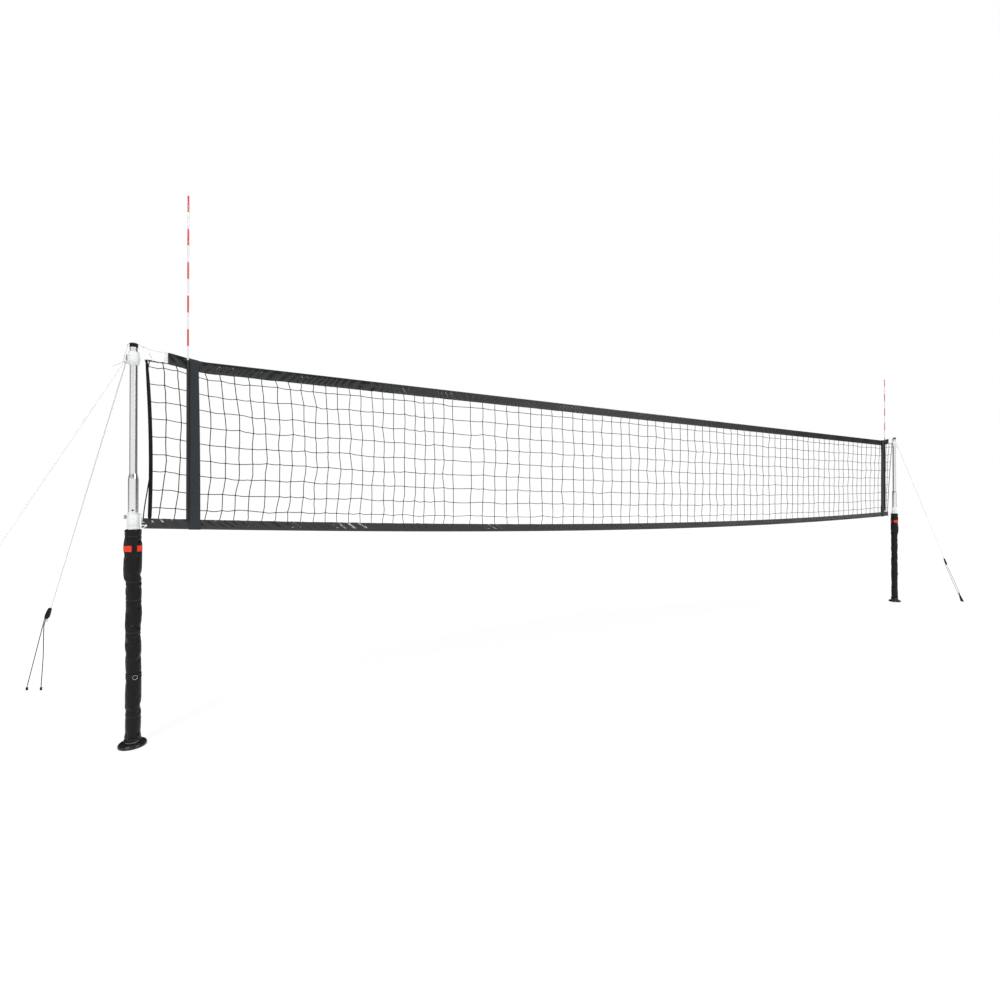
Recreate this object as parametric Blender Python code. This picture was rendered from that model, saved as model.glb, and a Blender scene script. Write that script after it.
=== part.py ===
"""Portable volleyball net system: two telescoping posts, a corded net, two antennas and four guys.

X runs along the net, Y away from the viewer and Z up. The origin is on the ground,
midway between the posts. Lengths are in metres. Each post's own pieces are placed
by a distance d, measured from the post's axis towards the net.
"""

import math

import bmesh
import bpy
from mathutils import Matrix, Vector

# Clearances
SEAT_GAP = 0.0003
RUNNING_GAP = 0.0005
CORD_GAP = 0.0005
EDGE_GAP = 0.0007
FOLD_GAP = 0.0008
TURN_GAP = 0.0009

# Posts
HALF_SPAN_LENGTH = 4.370
DISC_RADIUS = 0.070
DISC_THICKNESS = 0.022
DISC_BEVEL = 0.004
DISC_FLOOR = 0.006
PLUG_STEM_RADIUS = 0.015
PLUG_FLANGE_RADIUS = 0.0335
PLUG_FLANGE_HEIGHT = 0.0077
PLUG_SPIGOT_HEIGHT = 0.060
MAST_RADIUS = 0.0250
MAST_TOP_RADIUS = 0.0190
TUBE_WALL = 0.0020
LOWER_WALL = 0.0025
LOWER_TUBE_TOP = 1.285
MAST_OVERLAP_LENGTH = 0.387
STOP_BEAD_HEIGHT = 0.018
STOP_BEAD_DEPTH = 0.0027
SWAGE_BOTTOM = 1.530
SWAGE_HEIGHT = 0.018
MAST_HEAD_HEIGHT = 0.0357
CAP_RADIUS = 0.0205
CAP_HEIGHT = 0.0240
CAP_STEM_LENGTH = 0.026
CAP_EDGE = 0.003

# Collar, knob and height button
COLLAR_HEAD_HEIGHT = 0.0370
COLLAR_WALL = 0.0027
COLLAR_EDGE = 0.002
KNOB_RISE_HEIGHT = 0.020
KNOB_STEM_RADIUS = 0.0030
KNOB_RADIUS = 0.0110
KNOB_LENGTH = 0.0120
KNOB_STANDOFF = 0.0010
KNOB_LOBES = 6
KNOB_LOBE_DEPTH = 0.0012
BUTTON_RISE_HEIGHT = 0.0210
BUTTON_RADIUS = 0.0048
BUTTON_PROUD = 0.0040
BUTTON_FLANGE_RADIUS = 0.0070
BUTTON_FLANGE_THICKNESS = 0.0020

# Padded sleeve of each post
PAD_DROP_HEIGHT = 0.0510
PAD_RADIUS = 0.0470
PAD_SPREAD = 0.0030
PAD_EDGE = 0.004
PAD_PINCH_HEIGHTS = (0.934, 0.830, 0.646, 0.168)
PAD_PINCH_DEPTHS = (0.0022, 0.0014, 0.0014, 0.0014)
PAD_PLAIN_HEIGHTS = (0.500, 0.300)
PAD_PINCH_WIDTH = 0.016
REFLECTOR_HEIGHT = 1.1250
REFLECTOR_WIDTH = 0.0350
REFLECTOR_THICKNESS = 0.0010
REFLECTOR_GAP_STEPS = 2
REFLECTOR_START_STEP = 16
STRAP_HEIGHT = 0.4000
STRAP_WIDTH = 0.0280
STRAP_THICKNESS = 0.0014
LUG_RING_RADIUS = 0.0110
LUG_WIRE_RADIUS = 0.0016

# Guy ring and rope cleat at the head of each post
RING_DROPS = (0.0267, 0.0347, 0.0537, 0.0697, 0.0837, 0.0957, 0.1017)
RING_WALLS = (0.0072, 0.0075, 0.0107, 0.0117, 0.0097, 0.0057, 0.0035)
LUG_ROOT_DEPTH = 0.0037
TAIL_OUT_LENGTHS = (0.059, 0.038, 0.021)
TAIL_DROP_HEIGHTS = (0.024, 0.009, 0.004)
LUG_OUT = 0.041
LUG_ASIDE = 0.022
LUG_DROP_HEIGHT = 0.0892
LUG_THICKNESS = 0.005
LUG_MARGIN = 0.0105
CLEAT_WIDTH = 0.012
CLEAT_DROP_HEIGHT = 0.0397
CLEAT_LENGTH = 0.054
CLEAT_LEAN = 0.010
CLEAT_DEPTH = 0.0055

# Net
NET_TOP = 2.240
BAND_RISE_HEIGHT = 0.032
BAND_RISE_LENGTH = 0.195
BAND_END = 0.165
BAND_STEPS = 4
TOP_BAND_HEIGHT = 0.070
BOTTOM_BAND_HEIGHT = 0.062
BAND_WALL = 0.0013
BAND_MOUTH = 0.0020
NET_HEIGHT_LEFT = 1.0015
NET_HEIGHT_RIGHT = 1.0300
NET_SAG_DEPTH = 0.095
BOTTOM_END_LEFT = 0.044
BOTTOM_END_RIGHT = 0.180
ROPE_RADIUS = 0.0030
MESH_CORD = 0.0030
MESH_ROWS = 5
MESH_COLUMNS = 46
MESH_TUCK = 0.006
EDGE_WIDTH = 0.016
EDGE_THICKNESS = 0.0030
EDGE_OVERRUN = 0.003
EDGE_BOW_WIDTH = 0.023
EDGE_TOP_LEFT = 0.061
EDGE_TOP_RIGHT = 0.060
EDGE_FOOT_LEFT = 0.078
EDGE_FOOT_RIGHT = 0.192
SIDE_BAND_WIDTH = 0.070
SIDE_BAND_WALL = 0.0014
SIDE_BAND_LEFT = 0.263
SIDE_BAND_RIGHT = 0.286
TIE_RADIUS = 0.00125
TIE_DISTANCE = 0.045
HOOK_LENGTH = 0.024
HOOK_HEIGHT = 0.012
HOOK_THICKNESS = 0.005

# Antennas and their pockets on the side bands
ANTENNA_RADIUS = 0.005
ANTENNA_LENGTH = 1.800
ANTENNA_RAISED_LEFT = 0.140
POCKET_WALL = 0.0012
POCKET_GAP = 0.0004
POCKET_FLOOR_HEIGHT_LEFT = 0.0412
POCKET_FLOOR_HEIGHT_RIGHT = 0.0697
POCKET_FLOOR_THICKNESS = 0.003
POCKET_DROP_HEIGHT = 0.004

# Guys: each anchor's distance outside its post, and along Y from the net's line
GUY_RADIUS = 0.0030
LEG_RADIUS = 0.0025
KNOT_RADIUS = 0.0056
LEFT_PEG_OUT = 0.805
LEFT_PEG_AWAY = 1.433
LEFT_SECOND_OUT = 0.714
LEFT_SECOND_AWAY = 1.383
FRONT_ANCHOR_OUT = 0.830
FRONT_ANCHOR_AWAY = -0.460
BACK_ANCHOR_OUT = 1.100
BACK_ANCHOR_AWAY = 0.4725
PEG_RADIUS = 0.008
PEG_HEIGHT = 0.020
ANCHOR_HEIGHT = 0.120
ANCHOR_FOOT = (0.050, 0.022)
ANCHOR_HEAD = (0.018, 0.014)
TENSIONER_LENGTH = 0.100
TENSIONER_WIDTH = 0.030
TENSIONER_THICKNESS = 0.014
TENSIONER_EDGE = 0.004
BORE_OFFSET = 0.007
EYE_INSET = 0.014
GUY_TAIL = 0.030
LEFT_TENSIONER = 1.900
RIGHT_TENSIONER = 1.712
LEG_PARTING = 0.070

# Sizes that follow from those above
MAST_TOP = NET_TOP + MAST_HEAD_HEIGHT
NET_BOTTOM_LEFT = NET_TOP - NET_HEIGHT_LEFT
NET_BOTTOM_RIGHT = NET_TOP - NET_HEIGHT_RIGHT
PAD_TOP = LOWER_TUBE_TOP - PAD_DROP_HEIGHT
STOP_BEAD_TOP = LOWER_TUBE_TOP - MAST_OVERLAP_LENGTH
COLLAR_BOTTOM = PAD_TOP + SEAT_GAP
COLLAR_TOP = LOWER_TUBE_TOP + COLLAR_HEAD_HEIGHT
KNOB_HEIGHT = LOWER_TUBE_TOP + KNOB_RISE_HEIGHT
BUTTON_HEIGHT = COLLAR_TOP + BUTTON_RISE_HEIGHT
LUG_HEIGHT = MAST_TOP - LUG_DROP_HEIGHT
CLEAT_TOP = MAST_TOP - CLEAT_DROP_HEIGHT
CLEAT_BOTTOM = CLEAT_TOP - CLEAT_LENGTH
POCKET_TOP = NET_TOP - POCKET_DROP_HEIGHT
PLUG_BOTTOM = DISC_FLOOR + SEAT_GAP
FLANGE_BOTTOM = DISC_THICKNESS + SEAT_GAP
FLANGE_TOP = FLANGE_BOTTOM + PLUG_FLANGE_HEIGHT
LOWER_TUBE_BOTTOM = FLANGE_TOP + SEAT_GAP
LOWER_INNER = MAST_RADIUS + RUNNING_GAP
LOWER_RADIUS = LOWER_INNER + LOWER_WALL
MAST_BOTTOM = STOP_BEAD_TOP + SEAT_GAP
CAP_BOTTOM = MAST_TOP + SEAT_GAP
CAP_TOP = CAP_BOTTOM + CAP_HEIGHT
COLLAR_INNER = LOWER_RADIUS + SEAT_GAP
COLLAR_RADIUS = COLLAR_INNER + COLLAR_WALL
COLLAR_STEP = LOWER_TUBE_TOP + SEAT_GAP
COLLAR_NECK = MAST_RADIUS + RUNNING_GAP
PAD_INNER = LOWER_RADIUS + SEAT_GAP
PAD_BOTTOM = FLANGE_TOP + SEAT_GAP
RING_INNER = MAST_TOP_RADIUS + SEAT_GAP
RING_RADIUS = RING_INNER + max(RING_WALLS)
BAND_INNER = ROPE_RADIUS + FOLD_GAP
BAND_HALF = BAND_INNER + BAND_WALL
ROPE_DROP = BAND_HALF
SIDE_BAND_INNER = BAND_HALF + CORD_GAP
SIDE_BAND_HALF = SIDE_BAND_INNER + SIDE_BAND_WALL
POCKET_INNER = ANTENNA_RADIUS + POCKET_GAP
POCKET_RADIUS = POCKET_INNER + POCKET_WALL
POCKET_Y = -(SIDE_BAND_HALF + POCKET_INNER + 0.5 * POCKET_WALL)
HOLE_RADIUS = GUY_RADIUS + CORD_GAP
LEG_HOLE = LEG_RADIUS + CORD_GAP

LEFT = -1
RIGHT = 1
TURN_POINTS = 13
POST_SIDES = 18
BOTTOM_STATIONS = 20

FINISHES = {
    "silver": ((0.78, 0.79, 0.80), 0.32, 0.9),
    "white plastic": ((0.86, 0.87, 0.87), 0.45, 0.0),
    "grey plastic": ((0.40, 0.41, 0.42), 0.50, 0.0),
    "black plastic": ((0.015, 0.015, 0.017), 0.40, 0.0),
    "black fabric": ((0.018, 0.019, 0.021), 0.85, 0.0),
    "charcoal fabric": ((0.032, 0.035, 0.038), 0.80, 0.0),
    "orange fabric": ((0.87, 0.045, 0.012), 0.60, 0.0),
    "white rope": ((0.80, 0.80, 0.79), 0.85, 0.0),
    "black cord": ((0.012, 0.012, 0.013), 0.85, 0.0),
    "elastic": ((0.20, 0.035, 0.03), 0.75, 0.0),
    "antenna": ((0.72, 0.07, 0.05), 0.30, 0.0),
}


def clear_scene():
    """Removes whatever the scene held before."""
    for old in list(bpy.data.objects):
        bpy.data.objects.remove(old, do_unlink=True)


def side_name(side):
    return "left" if side == LEFT else "right"


def post_x(side, distance=0.0):
    """X of a place at this distance from a post's axis, towards the net."""
    return side * (HALF_SPAN_LENGTH - distance)


def material(name, finish):
    """A Principled material of a named finish."""
    colour, roughness, metallic = FINISHES[finish]
    made = bpy.data.materials.new(name)
    made.use_nodes = True
    shader = made.node_tree.nodes["Principled BSDF"]
    shader.inputs["Base Color"].default_value = (*colour, 1.0)
    shader.inputs["Roughness"].default_value = roughness
    shader.inputs["Metallic"].default_value = metallic
    made.diffuse_color = (*colour, 1.0)
    return made


def empty(name, location):
    """An empty on a joint's axis, which carries the pieces that move together."""
    made = bpy.data.objects.new(name, None)
    made.empty_display_size = 0.05
    made.location = location
    bpy.context.scene.collection.objects.link(made)
    return made


def place(name, data, finish, parent=None):
    """Links an object whose mesh is in world coordinates, under its parent if it has one."""
    made = bpy.data.objects.new(name, data)
    data.materials.append(material(name, finish))
    bpy.context.scene.collection.objects.link(made)
    if parent is not None:
        made.parent = parent
        made.matrix_parent_inverse = Matrix.Translation(-parent.location)
    return made


def set_origin(made, point):
    """Moves an object's origin to a point, and leaves its shape where it is."""
    made.data.transform(Matrix.Translation(-Vector(point)))
    made.location = point


def solid(name, shape, finish, parent=None, smooth=35.0):
    """An object made of a finished bmesh."""
    bmesh.ops.remove_doubles(shape, verts=shape.verts, dist=1e-6)
    bmesh.ops.recalc_face_normals(shape, faces=shape.faces)
    data = bpy.data.meshes.new(name)
    shape.to_mesh(data)
    shape.free()
    data.shade_smooth()
    data.set_sharp_from_angle(angle=math.radians(smooth))
    return place(name, data, finish, parent)


def turned(outline, sides, centre=(0.0, 0.0, 0.0), sweep=360.0, start=0.0):
    """Turns a closed (radius, height) outline about the vertical through centre."""
    shape = bmesh.new()
    turn = Matrix.Rotation(math.radians(start), 3, "Z")
    corners = [shape.verts.new(turn @ Vector((r, 0.0, z))) for r, z in outline]
    whole = sweep >= 360.0
    if whole:
        edges = [shape.edges.new(pair) for pair in zip(corners, corners[1:])]
        if min(outline[0][0], outline[-1][0]) > 0.0:
            edges.append(shape.edges.new((corners[-1], corners[0])))
        geometry = corners + edges
    else:
        geometry = [shape.faces.new(corners)]
    bmesh.ops.spin(
        shape,
        geom=geometry,
        cent=(0.0, 0.0, 0.0),
        axis=(0.0, 0.0, 1.0),
        angle=math.radians(sweep),
        steps=sides,
        use_merge=whole,
    )
    bmesh.ops.translate(shape, verts=shape.verts, vec=Vector(centre))
    return shape


def lofted(rings, closed=False):
    """Skins rings of points, with a face over each end or, if closed, round to the first ring."""
    shape = bmesh.new()
    loops = [[shape.verts.new(point) for point in ring] for ring in rings]
    count = len(loops[0])
    pairs = list(zip(loops, loops[1:]))
    if closed:
        pairs.append((loops[-1], loops[0]))
    for one, other in pairs:
        for index in range(count):
            after = (index + 1) % count
            shape.faces.new((one[index], one[after], other[after], other[index]))
    if not closed:
        shape.faces.new(loops[0])
        shape.faces.new(list(reversed(loops[-1])))
    return shape


def box(low, high):
    """A block between two corners."""
    shape = bmesh.new()
    size = Vector(high) - Vector(low)
    middle = (Vector(high) + Vector(low)) / 2
    bmesh.ops.create_cube(shape, size=1.0, matrix=Matrix.Translation(middle) @ Matrix.Diagonal((*size, 1.0)))
    return shape


def rod(start, end, radius, sides=16):
    """A round bar between two points."""
    shape = bmesh.new()
    axis = Vector(end) - Vector(start)
    turn = axis.to_track_quat("Z", "Y").to_matrix().to_4x4()
    middle = Matrix.Translation((Vector(start) + Vector(end)) / 2)
    bmesh.ops.create_cone(
        shape,
        cap_ends=True,
        segments=sides,
        radius1=radius,
        radius2=radius,
        depth=axis.length,
        matrix=middle @ turn,
    )
    return shape


def combine(made, shape, operation):
    """Applies a Boolean between an object and a helper bmesh, and removes the helper."""
    bmesh.ops.recalc_face_normals(shape, faces=shape.faces)
    data = bpy.data.meshes.new("helper")
    shape.to_mesh(data)
    shape.free()
    helper = bpy.data.objects.new("helper", data)
    helper.hide_render = True
    helper.display_type = "WIRE"
    bpy.context.scene.collection.objects.link(helper)
    modifier = made.modifiers.new("Boolean", "BOOLEAN")
    modifier.operation = operation
    modifier.solver = "EXACT"
    modifier.object = helper
    bpy.context.view_layer.update()
    graph = bpy.context.evaluated_depsgraph_get()
    result = bpy.data.meshes.new_from_object(made.evaluated_get(graph))
    made.modifiers.clear()
    old = made.data
    made.data = result
    bpy.data.meshes.remove(old)
    bpy.data.objects.remove(helper, do_unlink=True)
    bpy.data.meshes.remove(data)


def smooth_route(points, counts):
    """Reads points from a smooth curve through a route's own points, so many to each stretch."""
    route = [Vector(point) for point in points]
    read = [route[0]]
    for index, count in enumerate(counts):
        before = route[max(index - 1, 0)]
        start, end = route[index], route[index + 1]
        after = route[min(index + 2, len(route) - 1)]
        length = (end - start).length
        lead = (start - before).length or length
        trail = (after - end).length or length
        leaving = (end - before) / (length + lead) * length
        arriving = (after - start) / (length + trail) * length
        for step in range(1, count + 1):
            t = step / count
            read.append(
                start * (2 * t**3 - 3 * t**2 + 1)
                + leaving * (t**3 - 2 * t**2 + t)
                + end * (3 * t**2 - 2 * t**3)
                + arriving * (t**3 - t**2)
            )
    return read


def cord(name, points, radius, finish, parent=None, resolution=2, swells=None):
    """A round cord along a list of points. swells gives a thicker radius at some of them."""
    data = bpy.data.curves.new(name, "CURVE")
    data.dimensions = "3D"
    data.bevel_depth = radius
    data.bevel_resolution = resolution
    data.use_fill_caps = True
    spline = data.splines.new("POLY")
    spline.points.add(len(points) - 1)
    for index, point in enumerate(points):
        spline.points[index].co = (*point, 1.0)
        spline.points[index].radius = (swells or {}).get(index, 1.0)
    return place(name, data, finish, parent)


def rise_at(step):
    """Height of the net's upper edge at one of the places where its slope changes."""
    share = 1.0 - step / BAND_STEPS
    return NET_TOP + BAND_RISE_HEIGHT * share * share * (2.0 - share)


def band_top(x):
    """Height of the net's upper edge, which rises towards both posts as the head rope does."""
    along = (HALF_SPAN_LENGTH - abs(x) - BAND_END) / BAND_RISE_LENGTH * BAND_STEPS
    along = min(max(along, 0.0), float(BAND_STEPS))
    step = min(int(along), BAND_STEPS - 1)
    return rise_at(step) + (rise_at(step + 1) - rise_at(step)) * (along - step)


def band_bottom(x):
    """Height of the net's lower edge, which hangs in a shallow curve between its corners."""
    share = x / (2.0 * HALF_SPAN_LENGTH) + 0.5
    ends = NET_BOTTOM_LEFT + (NET_BOTTOM_RIGHT - NET_BOTTOM_LEFT) * share
    return ends - NET_SAG_DEPTH * 4.0 * share * (1.0 - share)


def mesh_top(x):
    """Height of the mesh's top cord, tucked into the upper band's mouth."""
    reach = min(abs(x), HALF_SPAN_LENGTH - BAND_END)
    return band_top(reach) - TOP_BAND_HEIGHT + MESH_TUCK


def mesh_bottom(x):
    """Height of the mesh's bottom cord, tucked into the lower band's mouth."""
    return band_bottom(x) + BOTTOM_BAND_HEIGHT - MESH_TUCK


def edge_distance(side, share):
    """Distance from the post to the middle of the net's side edge, share of the way down."""
    top = EDGE_TOP_LEFT if side == LEFT else EDGE_TOP_RIGHT
    foot = EDGE_FOOT_LEFT if side == LEFT else EDGE_FOOT_RIGHT
    return top + (foot - top) * share + EDGE_BOW_WIDTH * 4.0 * share * (1.0 - share)


def add_post(side, mast):
    """The fixed lower half of one post and the mast that slides in it."""
    name = side_name(side)
    x = post_x(side)
    centre = (x, 0.0, 0.0)

    disc = [
        (0.0, DISC_FLOOR),
        (PLUG_STEM_RADIUS + SEAT_GAP, DISC_FLOOR),
        (PLUG_STEM_RADIUS + SEAT_GAP, DISC_THICKNESS),
        (DISC_RADIUS - DISC_BEVEL, DISC_THICKNESS),
        (DISC_RADIUS, DISC_THICKNESS - DISC_BEVEL),
        (DISC_RADIUS, 0.0),
        (0.0, 0.0),
    ]
    solid(f"base_disc_{name}", turned(disc, POST_SIDES, centre), "black plastic")

    spigot = LOWER_INNER - SEAT_GAP
    plug = [
        (0.0, PLUG_BOTTOM),
        (PLUG_STEM_RADIUS, PLUG_BOTTOM),
        (PLUG_STEM_RADIUS, FLANGE_BOTTOM),
        (PLUG_FLANGE_RADIUS, FLANGE_BOTTOM),
        (PLUG_FLANGE_RADIUS, FLANGE_TOP),
        (spigot, FLANGE_TOP),
        (spigot, FLANGE_TOP + PLUG_SPIGOT_HEIGHT),
        (0.0, FLANGE_TOP + PLUG_SPIGOT_HEIGHT),
    ]
    solid(f"base_plug_{name}", turned(plug, POST_SIDES, centre), "grey plastic")

    bead = [
        (0.0, STOP_BEAD_TOP),
        (STOP_BEAD_DEPTH, STOP_BEAD_TOP - STOP_BEAD_HEIGHT / 3),
        (STOP_BEAD_DEPTH, STOP_BEAD_TOP - 2 * STOP_BEAD_HEIGHT / 3),
        (0.0, STOP_BEAD_TOP - STOP_BEAD_HEIGHT),
    ]
    lower = [(LOWER_RADIUS, LOWER_TUBE_TOP)]
    lower += [(LOWER_RADIUS - depth, height) for depth, height in bead]
    lower += [(LOWER_RADIUS, LOWER_TUBE_BOTTOM), (LOWER_INNER, LOWER_TUBE_BOTTOM)]
    lower += [(LOWER_INNER - depth, height) for depth, height in reversed(bead)]
    lower += [(LOWER_INNER, LOWER_TUBE_TOP)]
    solid(f"lower_tube_{name}", turned(lower, POST_SIDES, centre), "silver")

    rim = COLLAR_RADIUS - COLLAR_EDGE
    collar = [
        (COLLAR_NECK, COLLAR_TOP),
        (rim, COLLAR_TOP),
        (COLLAR_RADIUS, COLLAR_TOP - COLLAR_EDGE),
        (COLLAR_RADIUS, COLLAR_BOTTOM),
        (COLLAR_INNER, COLLAR_BOTTOM),
        (COLLAR_INNER, COLLAR_STEP),
        (COLLAR_NECK, COLLAR_STEP),
    ]
    made = solid(f"collar_{name}", turned(collar, POST_SIDES, centre), "white plastic")
    inner_end = (post_x(side, -COLLAR_NECK / 2), 0.0, KNOB_HEIGHT)
    outer_end = (post_x(side, -COLLAR_RADIUS * 1.5), 0.0, KNOB_HEIGHT)
    combine(made, rod(inner_end, outer_end, KNOB_STEM_RADIUS + CORD_GAP, 16), "DIFFERENCE")

    outer_mast = [
        (MAST_TOP_RADIUS, MAST_TOP),
        (MAST_TOP_RADIUS, SWAGE_BOTTOM + SWAGE_HEIGHT),
        (MAST_RADIUS, SWAGE_BOTTOM),
        (MAST_RADIUS, MAST_BOTTOM),
    ]
    inner_mast = [(radius - TUBE_WALL, height) for radius, height in reversed(outer_mast)]
    tube = solid(f"mast_tube_{name}", turned(outer_mast + inner_mast, POST_SIDES, centre), "silver", mast)
    hole_back = (x, -MAST_RADIUS + 3 * TUBE_WALL, BUTTON_HEIGHT)
    hole_front = (x, -MAST_RADIUS - 2 * TUBE_WALL, BUTTON_HEIGHT)
    combine(tube, rod(hole_back, hole_front, BUTTON_RADIUS + CORD_GAP, 16), "DIFFERENCE")
    set_origin(tube, centre)

    stem = MAST_TOP_RADIUS - TUBE_WALL - SEAT_GAP
    cap = [
        (0.0, CAP_TOP),
        (CAP_RADIUS - CAP_EDGE, CAP_TOP),
        (CAP_RADIUS, CAP_TOP - CAP_EDGE),
        (CAP_RADIUS, CAP_BOTTOM),
        (stem, CAP_BOTTOM),
        (stem, CAP_BOTTOM - CAP_STEM_LENGTH),
        (0.0, CAP_BOTTOM - CAP_STEM_LENGTH),
    ]
    made = solid(f"post_cap_{name}", turned(cap, POST_SIDES, centre), "black plastic", mast)
    groove = ROPE_RADIUS + CORD_GAP
    floor = CAP_TOP - 2 * ROPE_RADIUS - CORD_GAP
    combine(
        made,
        box((x - 2 * CAP_RADIUS, -groove, floor), (x + 2 * CAP_RADIUS, groove, CAP_TOP + CAP_RADIUS)),
        "DIFFERENCE",
    )


def add_pad(side):
    """The padded sleeve of one post, its orange band and its strap."""
    name = side_name(side)
    x = post_x(side)
    centre = (x, 0.0, 0.0)

    def radius_at(height):
        share = (PAD_TOP - height) / (PAD_TOP - PAD_BOTTOM)
        radius = PAD_RADIUS + PAD_SPREAD * min(1.0, 5.0 * share)
        for middle, depth in zip(PAD_PINCH_HEIGHTS, PAD_PINCH_DEPTHS):
            radius -= depth * math.exp(-(((height - middle) / PAD_PINCH_WIDTH) ** 2))
        return radius

    heights = {PAD_TOP - PAD_EDGE, PAD_BOTTOM + PAD_EDGE, *PAD_PLAIN_HEIGHTS}
    heights |= {PAD_TOP - (PAD_TOP - PAD_BOTTOM) / 5.0}
    for middle in PAD_PINCH_HEIGHTS:
        heights |= {middle + offset * PAD_PINCH_WIDTH for offset in (-1.4, 0.0, 1.4)}
    outer = [(radius_at(height), height) for height in sorted(heights, reverse=True)]
    outline = [(radius_at(PAD_TOP) - PAD_EDGE, PAD_TOP)] + outer
    outline += [(radius_at(PAD_BOTTOM) - PAD_EDGE, PAD_BOTTOM), (PAD_INNER, PAD_BOTTOM), (PAD_INNER, PAD_TOP)]
    solid(f"post_pad_{name}", turned(outline, POST_SIDES, centre), "black fabric")

    half = REFLECTOR_WIDTH / 2
    inner = max(radius_at(REFLECTOR_HEIGHT + share * half) for share in (-1.0, 0.0, 1.0)) + SEAT_GAP
    outer_radius = inner + REFLECTOR_THICKNESS
    low, high = REFLECTOR_HEIGHT - half, REFLECTOR_HEIGHT + half
    ribbon = [(inner, high), (outer_radius, high), (outer_radius, low), (inner, low)]
    step = 360.0 / POST_SIDES
    steps = POST_SIDES - REFLECTOR_GAP_STEPS
    band = turned(ribbon, steps, centre, step * steps, step * REFLECTOR_START_STEP)
    solid(f"pad_reflector_{name}", band, "orange fabric")

    half = STRAP_WIDTH / 2
    inner = max(radius_at(STRAP_HEIGHT + share * half) for share in (-1.0, 0.0, 1.0)) + SEAT_GAP
    outer_radius = inner + STRAP_THICKNESS
    low, high = STRAP_HEIGHT - half, STRAP_HEIGHT + half
    ribbon = [(inner, high), (outer_radius, high), (outer_radius, low), (inner, low)]
    strap = solid(f"pad_strap_{name}", turned(ribbon, POST_SIDES, centre), "black fabric")
    rings = []
    middle = Vector((x, -outer_radius - LUG_WIRE_RADIUS * 0.4, low - LUG_RING_RADIUS * 0.55))
    for step in range(12):
        around = 2 * math.pi * step / 12
        out = Vector((math.cos(around), 0.0, math.sin(around)))
        spot = middle + LUG_RING_RADIUS * out
        turns = [2 * math.pi * corner / 5 for corner in range(5)]
        rings.append(
            [spot + LUG_WIRE_RADIUS * (math.cos(a) * out + math.sin(a) * Vector((0.0, -1.0, 0.0))) for a in turns]
        )
    combine(strap, lofted(rings, closed=True), "UNION")


def add_controls(side, mast, knob_axis, button_axis):
    """The clamp knob in the collar and the spring button in the mast."""
    name = side_name(side)
    x = post_x(side)
    tip = MAST_RADIUS + SEAT_GAP
    head = COLLAR_RADIUS + KNOB_STANDOFF
    stations = [
        (tip, KNOB_STEM_RADIUS, 0.0),
        (head, KNOB_STEM_RADIUS, 0.0),
        (head + 0.0005, KNOB_RADIUS * 0.8, 0.0),
        (head + 0.0025, KNOB_RADIUS, KNOB_LOBE_DEPTH),
        (head + KNOB_LENGTH - 0.002, KNOB_RADIUS, KNOB_LOBE_DEPTH),
        (head + KNOB_LENGTH, KNOB_RADIUS * 0.85, KNOB_LOBE_DEPTH * 0.8),
    ]
    rings = []
    for distance, radius, lobe in stations:
        ring = []
        for corner in range(18):
            around = 2 * math.pi * corner / 18
            reach = radius + lobe * math.cos(KNOB_LOBES * around)
            ring.append(
                Vector((post_x(side, -distance), reach * math.cos(around), KNOB_HEIGHT + reach * math.sin(around)))
            )
        rings.append(ring)
    knob = solid(f"clamp_knob_{name}", lofted(rings), "grey plastic", knob_axis)
    set_origin(knob, knob_axis.location)
    knob.matrix_parent_inverse = Matrix.Translation(-knob_axis.location)

    face = MAST_RADIUS + BUTTON_PROUD
    inner_wall = math.sqrt((MAST_RADIUS - TUBE_WALL) ** 2 - BUTTON_FLANGE_RADIUS**2)
    shoulder = inner_wall - CORD_GAP
    back = shoulder - BUTTON_FLANGE_THICKNESS
    stations = [
        (face, BUTTON_RADIUS * 0.55),
        (face - 0.0012, BUTTON_RADIUS * 0.90),
        (face - 0.0026, BUTTON_RADIUS),
        (shoulder, BUTTON_RADIUS),
        (shoulder, BUTTON_FLANGE_RADIUS),
        (back, BUTTON_FLANGE_RADIUS),
    ]
    rings = []
    for distance, radius in stations:
        turns = [2 * math.pi * corner / 12 for corner in range(12)]
        ring = [(radius * math.cos(a), radius * math.sin(a)) for a in turns]
        rings.append([Vector((x + aside, -distance, BUTTON_HEIGHT + up)) for aside, up in ring])
    button = solid(f"height_button_{name}", lofted(rings), "black plastic", button_axis)
    set_origin(button, button_axis.location)
    button.matrix_parent_inverse = Matrix.Translation(-button_axis.location)


def guy_plan(side, front):
    """Lug, main anchor and second anchor of one guy, and whether it ends in a ground anchor."""
    away = -1.0 if front else 1.0
    lug = Vector((post_x(side, -LUG_OUT), away * LUG_ASIDE, LUG_HEIGHT))
    if side == LEFT:
        main = Vector((post_x(side, -LEFT_PEG_OUT), away * LEFT_PEG_AWAY, PEG_HEIGHT))
        second = Vector((post_x(side, -LEFT_SECOND_OUT), away * LEFT_SECOND_AWAY, PEG_HEIGHT))
        return lug, main, second
    out = FRONT_ANCHOR_OUT if front else BACK_ANCHOR_OUT
    shift = FRONT_ANCHOR_AWAY if front else BACK_ANCHOR_AWAY
    foot = Vector((post_x(side, -out), shift, 0.0))
    toward = (lug - foot).normalized()
    head = foot + toward * ((ANCHOR_HEIGHT - ANCHOR_HEAD[1] / 2) / toward.z)
    return lug, head, head


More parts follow.
